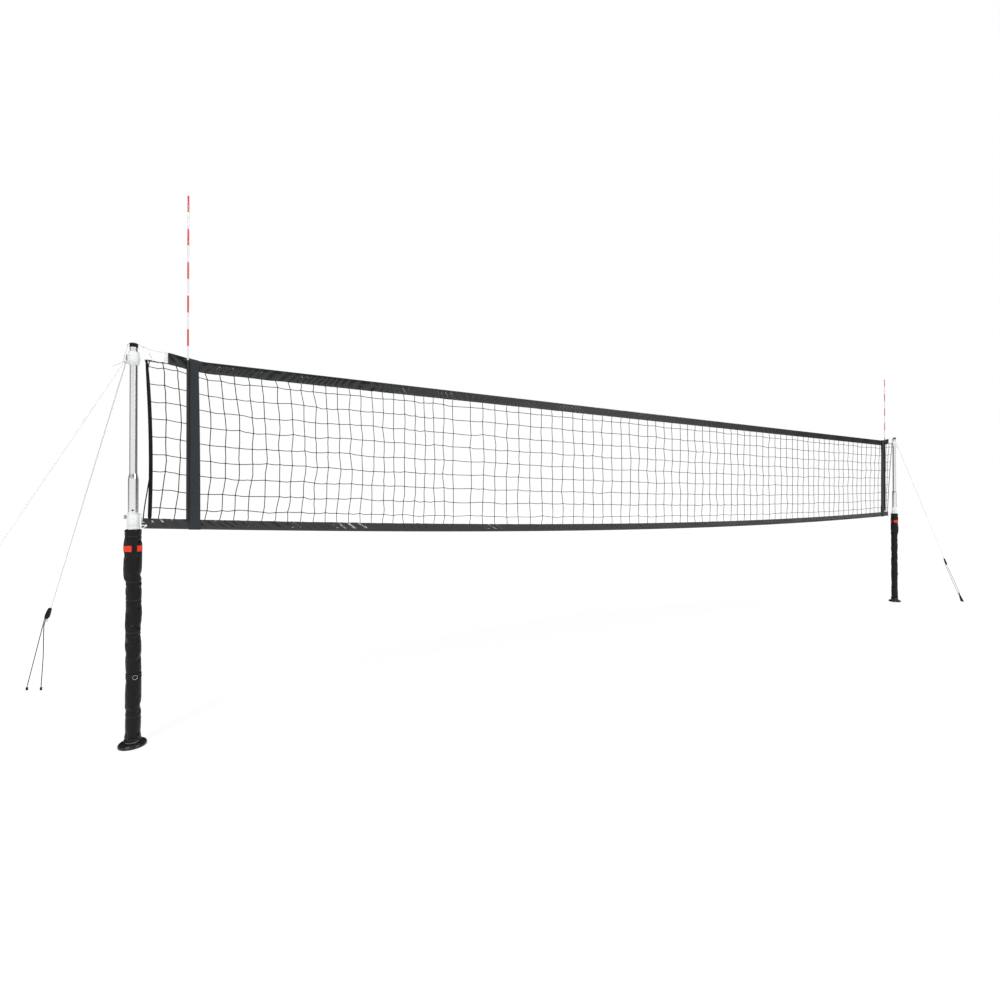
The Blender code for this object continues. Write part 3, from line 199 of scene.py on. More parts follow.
@dataclass(frozen=True)
class Finish:
    """What every finish holds: a name, a base colour, a roughness and a bump's height."""

    name: str
    colour: tuple[float, float, float]
    roughness: float = 0.5
    relief: float = 0.0002
    metal: float = field(default=0.0, kw_only=True)
    shine: float = field(default=0.5, kw_only=True)
    coat: float = field(default=0.0, kw_only=True)
    coat_roughness: float = field(default=0.03, kw_only=True)

    def tint(self, by: float) -> Colour:
        """The base colour, lighter or darker."""
        return (*(min(1.0, part * by) for part in self.colour), 1.0)

    def paint(self, graph: Graph) -> tuple[Wire, Wire, Wire]:
        """Gives the colour, the roughness and the bump's height."""
        raise NotImplementedError

    def material(self) -> bpy.types.Material:
        """The material of this finish, made once."""
        found = bpy.data.materials.get(self.name)
        if found is not None:
            return found
        made = bpy.data.materials.new(self.name)
        made.use_nodes = True
        made.diffuse_color = (*self.colour, 1.0)
        graph = Graph(made.node_tree)
        shader = made.node_tree.nodes["Principled BSDF"]
        colour, rough, height = self.paint(graph)
        values = {"Metallic": self.metal, "Specular IOR Level": self.shine, "Coat Weight": self.coat}
        values |= {"Coat Roughness": self.coat_roughness, "Base Color": colour, "Roughness": rough}
        values["Normal"] = graph.node("Bump", {"Distance": self.relief, "Height": height}, "Normal")
        for socket, value in values.items():
            graph.feed(shader.inputs[socket], value)
        return made


@dataclass(frozen=True)
class DrawnTube(Finish):
    """Bright drawn metal with fine lines along the tube and a few dull scuffs."""

    metal: float = field(default=1.0, kw_only=True)

    def paint(self, graph: Graph) -> tuple[Wire, Wire, Wire]:
        """Lines along Z, cloudy patches and scuffs."""
        lines = graph.streaks((420.0, 420.0, 2.5), 2.0)
        patches = graph.cloud(graph.place(), 9.0)
        scuffs = graph.streaks((40.0, 40.0, 160.0), 4.0).ramp(0.68, 0.78)
        share = lines * 0.3 + patches * 0.35 + scuffs * 0.25
        rough = self.roughness + lines * 0.06 + scuffs * 0.18 + patches * 0.05
        return graph.mix(share, self.tint(1.04), self.tint(0.86)), rough, lines * 0.5 - scuffs


@dataclass(frozen=True)
class Moulded(Finish):
    """Moulded plastic or rubber with a fine grain, cloudy colour and rubbed edges."""

    grain: float = 1400.0
    rubbed: float = 1.15

    def paint(self, graph: Graph) -> tuple[Wire, Wire, Wire]:
        """Grain, cloudy colour, dust and edges that are rubbed lighter or darker."""
        place = graph.place()
        grain = graph.cloud(place, self.grain, 3.0)
        patches = graph.cloud(place, 38.0, 4.0)
        edges = graph.node("NewGeometry", output="Pointiness").ramp(0.52, 0.6)
        body = graph.mix(patches, self.tint(0.92), self.tint(1.08))
        colour = graph.mix(edges * (0.35 + patches * 0.5), body, self.tint(self.rubbed))
        return colour, self.roughness + (patches - 0.5) * 0.16 + edges * 0.06, grain + patches * 0.6


@dataclass(frozen=True)
class Cloth(Finish):
    """Woven cloth. The piece's "cloth" attribute is (along, across, 0) in metres, or (x, y, z) of a tube."""

    thread: float = 0.0011
    round: bool = False
    girth: float = 0.3
    stitches: tuple[float, ...] = ()
    stitch_colour: Colour = (0.05, 0.052, 0.055, 1.0)
    shine: float = field(default=0.25, kw_only=True)
    coat_roughness: float = field(default=0.24, kw_only=True)

    def paint(self, graph: Graph) -> tuple[Wire, Wire, Wire]:
        """Threads over and under, worn patches, and rows of stitches."""
        along, across, third = graph.surface("cloth")
        if self.round:
            along, across = across.math("ARCTAN2", along) * (self.girth / math.tau), third
        pitch = math.tau / self.thread
        warp, weft = (along * pitch).sine(), (across * pitch).sine()
        weave = warp * weft * 0.5 + 0.5
        place = graph.place()
        worn = graph.cloud(place, 7.0, 5.0)
        dust = graph.cloud(place, 55.0, 3.0)
        colour = graph.mix(worn * 0.6 + dust * 0.4, self.tint(0.78), self.tint(1.28))
        colour = graph.mix(weave * 0.35, colour, self.tint(0.72))
        height = weave + dust * 0.8
        for row in self.stitches:
            seam = (across - row).unsigned() < 0.0011
            dash = seam * ((along * (math.tau / 0.0062)).sine() > -0.35)
            colour = graph.mix(dash, colour, self.stitch_colour)
            height = height + dash * 1.5 - seam * 1.2
        return colour, self.roughness + (worn - 0.5) * 0.22 + weave * 0.05, height


@dataclass(frozen=True)
class Braid(Finish):
    """A braided or twisted cord, whose strands follow the piece's "braid" attribute."""

    strands: float = 8.0
    lay: float = 0.016
    crossed: bool = True
    fleck: Optional[Colour] = None
    # Share of the colour kept in the hollows between strands: painted shade.
    painted_hollow_shade: float = 0.62
    shine: float = field(default=0.2, kw_only=True)

    def paint(self, graph: Graph) -> tuple[Wire, Wire, Wire]:
        """Strands round the cord one way or both ways, with painted shade in the hollows between them."""
        east, north, along = graph.surface("braid")
        around = north.math("ARCTAN2", east)
        climb = along * (math.tau / self.lay)
        half = self.strands * 0.5
        strands = (around * half + climb * half).sine().unsigned()
        if self.crossed:
            strands = strands.math("MAXIMUM", (around * half - climb * half).sine().unsigned())
        place = graph.place()
        soil, fuzz = graph.cloud(place, 14.0, 4.0), graph.cloud(place, 900.0)
        # Painted shade: the colour darkens in the hollows between the strands, where shade would fall.
        colour = graph.mix(strands.ramp(0.1, 0.8), self.tint(self.painted_hollow_shade), self.tint(1.04))
        colour = graph.mix(soil.ramp(0.5, 0.9) * 0.5, colour, self.tint(0.8))
        if self.fleck is not None:
            colour = graph.mix((around * 2.0 + climb).sine() > 0.72, colour, self.fleck)
        return colour, self.roughness + fuzz * 0.1, strands + fuzz * 0.4


@dataclass(frozen=True)
class Twine(Finish):
    """Tarred net twine, too thin for its own attribute: its twist is read from the place."""

    shine: float = field(default=0.15, kw_only=True)

    def paint(self, graph: Graph) -> tuple[Wire, Wire, Wire]:
        """Slanted twist lines with painted shade in their grooves, and greyer worn lengths."""
        place = graph.place()
        x, y, z = graph.axes(place)
        twist = ((x + z + y * 0.6) * (math.tau / 0.0042)).sine() * 0.5 + 0.5
        worn = graph.cloud(place, 6.0, 4.0)
        # Painted shade: the twist term darkens the colour in the grooves between twists; the worn term is wear.
        colour = graph.mix(worn * 0.6 + twist * 0.3, self.tint(0.7), self.tint(1.7))
        return colour, self.roughness + (worn - 0.5) * 0.2, twist


@dataclass(frozen=True)
class Stripes(Finish):
    """Gloss paint in bands of two colours down a rod."""

    other: tuple[float, float, float] = (0.86, 0.86, 0.85)
    top: float = 3.0
    band: float = 0.1
    coat: float = field(default=0.4, kw_only=True)
    coat_roughness: float = field(default=0.12, kw_only=True)

    def paint(self, graph: Graph) -> tuple[Wire, Wire, Wire]:
        """Bands counted from the rod's top, with a faint step at each edge and small chips."""
        place = graph.place()
        share = ((self.top - graph.axes(place)[2] + 0.0004) / (2.0 * self.band)).math("FRACT")
        second = share > 0.5
        step = (share - 0.5).unsigned() < 0.004
        chips = graph.cloud(place, 160.0, 5.0).ramp(0.7, 0.76)
        soil = graph.cloud(place, 20.0, 3.0)
        colour = graph.mix(second, self.tint(1.0), (*self.other, 1.0))
        colour = graph.mix(chips * 0.5, colour, grey(0.55))
        colour = graph.mix(soil.ramp(0.55, 0.85) * 0.2, colour, grey(0.4))
        return colour, self.roughness + chips * 0.3 + soil * 0.08, step * 0.5 - chips


SLEEVE_SEAMS = (0.934, 0.83, 0.646, 0.168, 1.196)


@dataclass(frozen=True)
class Finishes:
    """Every finish of the net system."""

    tube: Finish = DrawnTube("drawn_tube", (0.93, 0.935, 0.94), 0.16, 0.000003)
    inner_tube: Finish = DrawnTube("inner_tube", (0.72, 0.73, 0.74), 0.3, 0.00001)
    white_plastic: Finish = Moulded("white_plastic", (0.86, 0.87, 0.87), 0.38, 0.00006, rubbed=0.93)
    grey_plastic: Finish = Moulded("grey_plastic", (0.36, 0.37, 0.38), 0.45, 0.00008)
    black_plastic: Finish = Moulded("black_plastic", (0.005, 0.005, 0.006), 0.42, 0.00008, 1400.0, 3.0, shine=0.16)
    black_rubber: Finish = Moulded("black_rubber", (0.006, 0.006, 0.007), 0.5, 0.00012, 900.0, 2.4, shine=0.2)
    disc_rubber: Finish = Moulded("disc_rubber", (0.01, 0.01, 0.011), 0.26, 0.0001, 700.0, 2.6, shine=0.45)
    wire: Finish = DrawnTube("wire_ring", (0.7, 0.71, 0.73), 0.22, 0.00002)
    dull_wire: Finish = DrawnTube("dull_wire", (0.34, 0.35, 0.36), 0.32, 0.00002)
    band: Finish = Cloth(
        "coated_band", (0.0085, 0.01, 0.0115), 0.22, 0.00003, 0.0013, stitches=(0.006, 0.058), coat=0.33, shine=0.46
    )
    side_band: Finish = Cloth(
        "side_band", (0.018, 0.021, 0.024), 0.6, 0.00014, 0.0012, stitches=(0.004, 0.056), shine=0.35
    )
    pocket: Finish = Cloth("pocket_cloth", (0.02, 0.023, 0.026), 0.62, 0.00012, 0.0012, True, 0.042, shine=0.35)
    sleeve: Finish = Cloth(
        "sleeve_cloth", (0.0028, 0.003, 0.0038), 0.42, 0.00008, 0.0014, True, 0.27, SLEEVE_SEAMS, shine=0.24
    )
    reflector: Finish = Cloth(
        "reflective_tape", (0.87, 0.045, 0.012), 0.34, 0.00008, 0.0016, True, 0.28,
        stitches=(1.1095, 1.1405), stitch_colour=(0.75, 0.1, 0.05, 1.0),
    )
    webbing: Finish = Cloth("black_webbing", (0.009, 0.0095, 0.011), 0.6, 0.00025, 0.0024, True, 0.28)
    edge: Finish = Braid("edge_webbing", (0.007, 0.007, 0.008), 0.75, 0.0002, 10.0, 0.03)
    rope: Finish = Braid("white_rope", (0.9, 0.9, 0.89), 0.72, 0.0002, 8.0, 0.018, painted_hollow_shade=0.8)
    thin_rope: Finish = Braid("thin_white_cord", (0.88, 0.88, 0.87), 0.72, 0.00012, 6.0, 0.008, painted_hollow_shade=0.8)
    black_cord: Finish = Braid("black_cord", (0.007, 0.007, 0.008), 0.72, 0.0002, 8.0, 0.014)
    elastic: Finish = Braid(
        "shock_cord", (0.24, 0.032, 0.026), 0.68, 0.00018, 8.0, 0.012, True, (0.035, 0.02, 0.02, 1.0)
    )
    twine: Finish = Twine("net_twine", (0.0055, 0.0055, 0.006), 0.7, 0.00015)

    def antenna(self, top: float) -> Finish:
        """The striped paint of an antenna whose tip is at this height."""
        return Stripes(f"antenna_paint_{round(top * 1000)}", (0.72, 0.06, 0.045), 0.24, 0.00005, top=top)


FINISHES = Finishes()


# Mesh makers


def polar(turn: float, radius: float = 1.0, height: float = 0.0) -> Vector:
    """A place round the vertical through the origin, by an angle in radians."""
    return Vector((radius * math.cos(turn), radius * math.sin(turn), height))


def near(across: float, up: float, *offsets: tuple[float, float]) -> list[tuple[float, float]]:
    """Outline points near one place, by offsets in millimetres."""
    return [(across + aside / 1000, up + rise / 1000) for aside, rise in offsets]


def noise_at(place: Vector, scale: float, seed: float) -> float:
    """Smooth noise from -1 to 1, the same on every run."""
    return noise.noise(place * scale + Vector((seed, -seed, 0.5 * seed)))


def clamp(value: float) -> float:
    """A number held between 0 and 1."""
    return min(1.0, max(0.0, value))


def eased(share: float) -> float:
    """A share that starts and ends softly."""
    return share * share * (3.0 - 2.0 * share)


def bell(place: float, middle: float, width: float) -> float:
    """1 at the middle, falling off smoothly to both sides."""
    return math.exp(-(((place - middle) / width) ** 2))


def smooth_route(points: Sequence[Sequence[float]], counts: Sequence[int]) -> list[Vector]:
    """Reads points from a smooth curve through a route's own points.

    Args:
        points: The route's own points.
        counts: How many points are read from each stretch.

    Returns:
        The points read, with the first one.
    """
    route = [Vector(point) for point in points]
    read = [route[0]]
    for index, count in enumerate(counts):
        before = route[max(index - 1, 0)]
        start, end = route[index], route[index + 1]
        after = route[min(index + 2, len(route) - 1)]
        length = (end - start).length
        lead = (start - before).length or length
        trail = (after - end).length or length
        leaving = (end - before) / (length + lead) * length
        arriving = (after - start) / (length + trail) * length
        for step in range(1, count + 1):
            t = step / count
            read.append(
                start * (2 * t**3 - 3 * t**2 + 1)
                + leaving * (t**3 - 2 * t**2 + t)
                + end * (3 * t**2 - 2 * t**3)
                + arriving * (t**3 - t**2)
            )
    return read


def path_length(points: Sequence[Vector]) -> float:
    """The length along a list of points."""
    return sum((b - a).length for a, b in zip(points, points[1:]))


def frames_along(points: Sequence[Vector], aim: Optional[Vector] = None) -> list[Matrix]:
    """A frame at each point of a route, with its Z along the route.

    Args:
        points: The route.
        aim: The way that each frame's X leans, or none to turn as little as possible.

    Returns:
        One matrix for each point.
    """
    frames = []
    across = aim
    for index, point in enumerate(points):
        ahead = points[min(index + 1, len(points) - 1)] - points[max(index - 1, 0)]
        along = ahead.normalized()
        across = (aim or across or along.orthogonal()).copy()
        across = (across - along * across.dot(along)).normalized()
        turn = Matrix((across, along.cross(across), along)).transposed()
        frames.append(Matrix.Translation(point) @ turn.to_4x4())
    return frames


def outward(shape: Shape) -> Shape:
    """Turns all faces of a shape outward."""
    bmesh.ops.recalc_face_normals(shape, faces=shape.faces)
    return shape


def extruded(shape: Shape, rim: list[bmesh.types.BMEdge]) -> tuple[list[Any], list[Any]]:
    """Extrudes a rim in place, and gives the corners and edges of the new one."""
    grown = bmesh.ops.extrude_edge_only(shape, edges=rim)["geom"]
    corners = [part for part in grown if isinstance(part, bmesh.types.BMVert)]
    return corners, [part for part in grown if isinstance(part, bmesh.types.BMEdge) and part.is_boundary]


def sweep(
    points: Sequence[Vector], radii: Any, sides: int = 12, flat: float = 1.0, aim: Optional[Vector] = None
) -> Shape:
    """Draws a circle along a route and closes both ends.

    Args:
        points: The route.
        radii: One radius, or one for each point.
        sides: The circle's corners.
        flat: The section's second half-width as a share of its first.
        aim: The way of the section's first half-width.

    Returns:
        The closed tube, with a "braid" attribute of (cos, sin, distance).
    """
    sizes = list(radii) if isinstance(radii, (list, tuple)) else [radii] * len(points)
    shape = bmesh.new()
    braid = shape.verts.layers.float_vector.new("braid")
    bmesh.ops.create_circle(shape, cap_ends=True, segments=sides, radius=1.0)
    corners, rim = list(shape.verts), list(shape.edges)
    for corner in corners:
        corner[braid] = (corner.co.x, corner.co.y, 0.0)
    travelled = 0.0
    for index, (here, size) in enumerate(zip(frames_along(points, aim), sizes)):
        if index:
            travelled += (points[index] - points[index - 1]).length
            corners, rim = extruded(shape, rim)
        for corner in corners:
            cosine, sine = corner[braid].x, corner[braid].y
            corner.co = here @ Vector((cosine * size, sine * size * flat, 0.0))
            corner[braid] = (cosine, sine, travelled)
    bmesh.ops.contextual_create(shape, geom=rim)
    return outward(shape)


def spun(shape: Shape, steps: int, weld: float) -> Shape:
    """Spins a shape's corners and edges once round Z, and welds what meets."""
    geom = list(shape.verts) + list(shape.edges)
    centre = (0.0, 0.0, 0.0)
    bmesh.ops.spin(shape, geom=geom, cent=centre, axis=UP, angle=math.tau, steps=steps, use_merge=True)
    bmesh.ops.remove_doubles(shape, verts=shape.verts, dist=weld)
    return shape


def turned(outline: Outline, centre: Sequence[float], steps: int = 64) -> Shape:
    """Spins an outline of (radius, height) points round the vertical through centre.

    Args:
        outline: From the axis to the axis, or all round a wall, which is then closed.
        centre: The axis's X and Y, and a height that is added.
        steps: Steps of the full turn.

    Returns:
        The closed body.
    """
    shape = bmesh.new()
    corners = [shape.verts.new((radius, 0.0, height)) for radius, height in outline]
    for pair in zip(corners, corners[1:]):
        shape.edges.new(pair)
    if min(outline[0][0], outline[-1][0]) > 0.0:
        shape.edges.new((corners[-1], corners[0]))
    outward(spun(shape, steps, 1e-6))
    bmesh.ops.translate(shape, verts=shape.verts, vec=Vector(centre))
    return shape


def soften(shape: Shape, width: float, segments: int = 3, angle: float = 32.0) -> Shape:
    """Rounds every edge that is sharper than an angle in degrees."""
    sharp = [
        edge
        for edge in shape.edges
        if len(edge.link_faces) == 2 and edge.calc_face_angle(0.0) > math.radians(angle)
    ]
    bmesh.ops.bevel(
        shape, geom=sharp, offset=width, affect="EDGES", segments=segments, profile=0.5, material=-1, clamp_overlap=True
    )
    return shape


def block(one: Sequence[float], other: Sequence[float], edge: float) -> Shape:
    """A block between two opposite corners, with rounded edges."""
    shape = bmesh.new()
    size, middle = Vector(other) - Vector(one), (Vector(other) + Vector(one)) / 2
    matrix = Matrix.Translation(middle) @ Matrix.Diagonal((*map(abs, size), 1.0))
    bmesh.ops.create_cube(shape, size=1.0, matrix=matrix)
    return soften(shape, edge)


def ring(centre: Vector, facing: Vector, radius: float, wire: float, steps: int = 36, sides: int = 10) -> Shape:
    """A wire ring round a centre, whose hole faces one way."""
    shape = bmesh.new()
    turn = facing.to_track_quat("Z", "X").to_matrix().to_4x4()
    matrix = Matrix.Translation((radius, 0.0, 0.0)) @ Matrix.Rotation(math.pi / 2, 4, "X")
    bmesh.ops.create_circle(shape, cap_ends=False, segments=sides, radius=wire, matrix=matrix)
    spun(shape, steps, 1e-7)
    bmesh.ops.transform(shape, matrix=Matrix.Translation(centre) @ turn, verts=shape.verts)
    return outward(shape)


def cloth_layer(shape: Shape) -> Any:
    """The attribute that a cloth's weave and stitches follow."""
    return shape.verts.layers.float_vector.new("cloth")


def cloth_grid(columns: int, rows: int) -> tuple[Shape, Any]:
    """A flat sheet of one unit, and its "cloth" attribute."""
    shape = bmesh.new()
    layer = cloth_layer(shape)
    bmesh.ops.create_grid(shape, x_segments=columns, y_segments=rows, size=0.5)
    return shape, layer


def thickened(shape: Shape, thickness: float) -> Shape:
    """Gives a sheet a thickness."""
    bmesh.ops.solidify(shape, geom=shape.faces, thickness=thickness)
    return outward(shape)


def mesh_data(name: str, shape: Shape) -> bpy.types.Mesh:
    """A shape as mesh data, and the shape freed."""
    data = bpy.data.meshes.new(name)
    shape.to_mesh(data)
    shape.free()
    return data


def placed(name: str, data: Any) -> bpy.types.Object:
    """A new object of the scene."""
    made = bpy.data.objects.new(name, data)
    bpy.context.scene.collection.objects.link(made)
    return made


def gathered(shapes: Iterable[Shape]) -> Shape:
    """All shapes as one, and the separate ones freed."""
    whole = bmesh.new()
    for shape in shapes:
        data = mesh_data("part", shape)
        whole.from_mesh(data)
        bpy.data.meshes.remove(data)
    return whole


def drilled(shape: Shape, start: Vector, end: Vector, radius: float) -> Shape:
    """A shape with a round hole from start to end."""
    return carved(shape, sweep([start, end], radius, 24))


def carved(shape: Shape, cutter: Shape) -> Shape:
    """A shape with another cut out of it, and both freed."""
    made = [placed("carving", mesh_data("carving", part)) for part in (shape, cutter)]
    modifier = made[0].modifiers.new("Boolean", "BOOLEAN")
    modifier.operation, modifier.solver, modifier.object = "DIFFERENCE", "EXACT", made[1]
    graph = bpy.context.evaluated_depsgraph_get()
    result = bpy.data.meshes.new_from_object(made[0].evaluated_get(graph))
    left = bmesh.new()
    left.from_mesh(result)
    for data in [part.data for part in made] + [result]:
        bpy.data.meshes.remove(data)
    bmesh.ops.remove_doubles(left, verts=left.verts, dist=1e-6)
    return left


@dataclass
class Workshop:
    """Turns finished shapes into pieces of the object, and reports each one."""

    triangles: int = 0

    def piece(
        self,
        name: str,
        shape: Shape,
        finish: Finish,
        body: Optional[str],
        slot: str = "",
        nodes: Sequence[str] = (),
        sharp: float = 38.0,
    ) -> bpy.types.Object:
        """Makes one piece at the origin.

        Args:
            name: The piece's name.
            shape: Its bmesh, which is freed.
            finish: Its material.
            body: The CAD body that it rides on, or none to leave it unattached.
            slot: The material slot's name, which is not used.
            nodes: The CAD nodes that it stands for.
            sharp: The angle past which an edge shades sharp.

        Returns:
            The object.
        """
        data = mesh_data(name, shape)
        data.shade_smooth()
        data.set_sharp_from_angle(angle=math.radians(sharp))
        data.materials.append(finish.material())
        made = placed(name, data)
        if body is not None:
            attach(made, body)
        if nodes:
            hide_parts(*nodes)
        data.calc_loop_triangles()
        self.triangles += len(data.loop_triangles)
        LOG.info("%s: %d triangles on %s", name, len(data.loop_triangles), body or "two bodies")
        return made

    def own(
        self, label: str, name: str, shape: Shape, finish: Finish, body: Optional[str], slot: str, sharp: float = 38.0
    ) -> bpy.types.Object:
        """Makes one side's or one guy's piece, which stands for the node of that name."""
        return self.piece(f"{label}_{name}", shape, finish, body, slot, [f"{slot}_{name}"], sharp)


def declare_cord(
    leaves: Vector, points: Sequence[Vector], radius: float, far_end: str
) -> None:
    """Reads a cord's start, its length and its points, and keeps none of them."""
    tuple(leaves)
    path_length(points)
    [tuple(point) for point in points]


SHOP = Workshop()


# Sizes that several sub-assemblies share


@dataclass(frozen=True)
class Layout:
    """The net's and posts' own sizes, as the CAD source has them."""

    half_span: float = 4.37
    pad_top: float = 1.234
    collar_top: float = 1.322
    collar_radius: float = 0.031
    mast_radius: float = 0.025
    mast_top_radius: float = 0.019
    mast_top: float = 2.2757
    cap_radius: float = 0.0205
    cap_bottom: float = 2.276
    cap_top: float = 2.3
    ring_radius: float = 0.031
    lug_height: float = 2.1865
    cleat_top: float = 2.236
    cleat_bottom: float = 2.182
    net_top: float = 2.24
    band_rise: float = 0.032
    band_rise_length: float = 0.195
    band_end: float = 0.165
    band_steps: int = 4
    top_band: float = 0.07
    bottom_band: float = 0.062
    band_half: float = 0.0051
    bottoms: tuple[float, float] = (1.2385, 1.21)
    net_sag: float = 0.095
    bottom_ends: tuple[float, float] = (0.044, 0.18)
    rope_radius: float = 0.003
    tuck: float = 0.006
    edge_bow: float = 0.012
    edge_tops: tuple[float, float] = (0.061, 0.06)
    edge_feet: tuple[float, float] = (0.078, 0.192)
    side_bands: tuple[float, float] = (0.268, 0.291)
    pockets: tuple[float, float] = (0.2656, 0.2886)
    side_band_width: float = 0.052
    side_band_half: float = 0.007
    pocket_y: float = -0.013
    pocket_lifts: tuple[float, float] = (0.0412, 0.0697)
    cord_gap: float = 0.0005

    def x(self, side: Side, distance: float = 0.0) -> float:
        """X of a place at this distance from a post's axis, towards the net."""
        return side.value * (self.half_span - distance)

    def at(self, side: Side, distance: float, y: float = 0.0, z: float = 0.0) -> Vector:
        """A place at this distance from a post's axis, towards the net."""
        return Vector((self.x(side, distance), y, z))

    def pocket(self, side: Side) -> Vector:
        """The middle of the antenna pocket's floor."""
        floor = side.of(self.bottoms) + side.of(self.pocket_lifts)
        return self.at(side, side.of(self.pockets), self.pocket_y, floor)

    def rise_at(self, step: int) -> float:
        """Height of the net's upper edge at one of the places where its slope changes."""
        share = 1.0 - step / self.band_steps
        return self.net_top + self.band_rise * share * share * (2.0 - share)

    def band_top(self, x: float) -> float:
        """Height of the net's upper edge."""
        along = (self.half_span - abs(x) - self.band_end) / self.band_rise_length * self.band_steps
        along = clamp(along / self.band_steps) * self.band_steps
        step = min(int(along), self.band_steps - 1)
        return self.rise_at(step) + (self.rise_at(step + 1) - self.rise_at(step)) * (along - step)

    def band_bottom(self, x: float) -> float:
        """Height of the net's lower edge."""
        share = x / (2.0 * self.half_span) + 0.5
        ends = self.bottoms[0] + (self.bottoms[1] - self.bottoms[0]) * share
        return ends - self.net_sag * 4.0 * share * (1.0 - share)

    def mesh_top(self, x: float) -> float:
        """Height of the mesh's top cord, in the upper band's mouth."""
        reach = min(abs(x), self.half_span - self.band_end)
        return self.band_top(reach) - self.top_band + self.tuck

    def mesh_bottom(self, x: float) -> float:
        """Height of the mesh's bottom cord, in the lower band's mouth."""
        return self.band_bottom(x) + self.bottom_band - self.tuck

    def edge_distance(self, side: Side, share: float) -> float:
        """Distance from the post to the net's side edge, share of the way down."""
        top, foot = side.of(self.edge_tops), side.of(self.edge_feet)
        return top + (foot - top) * share + self.edge_bow * 4.0 * share * (1.0 - share)


LAYOUT = Layout()


# Posts


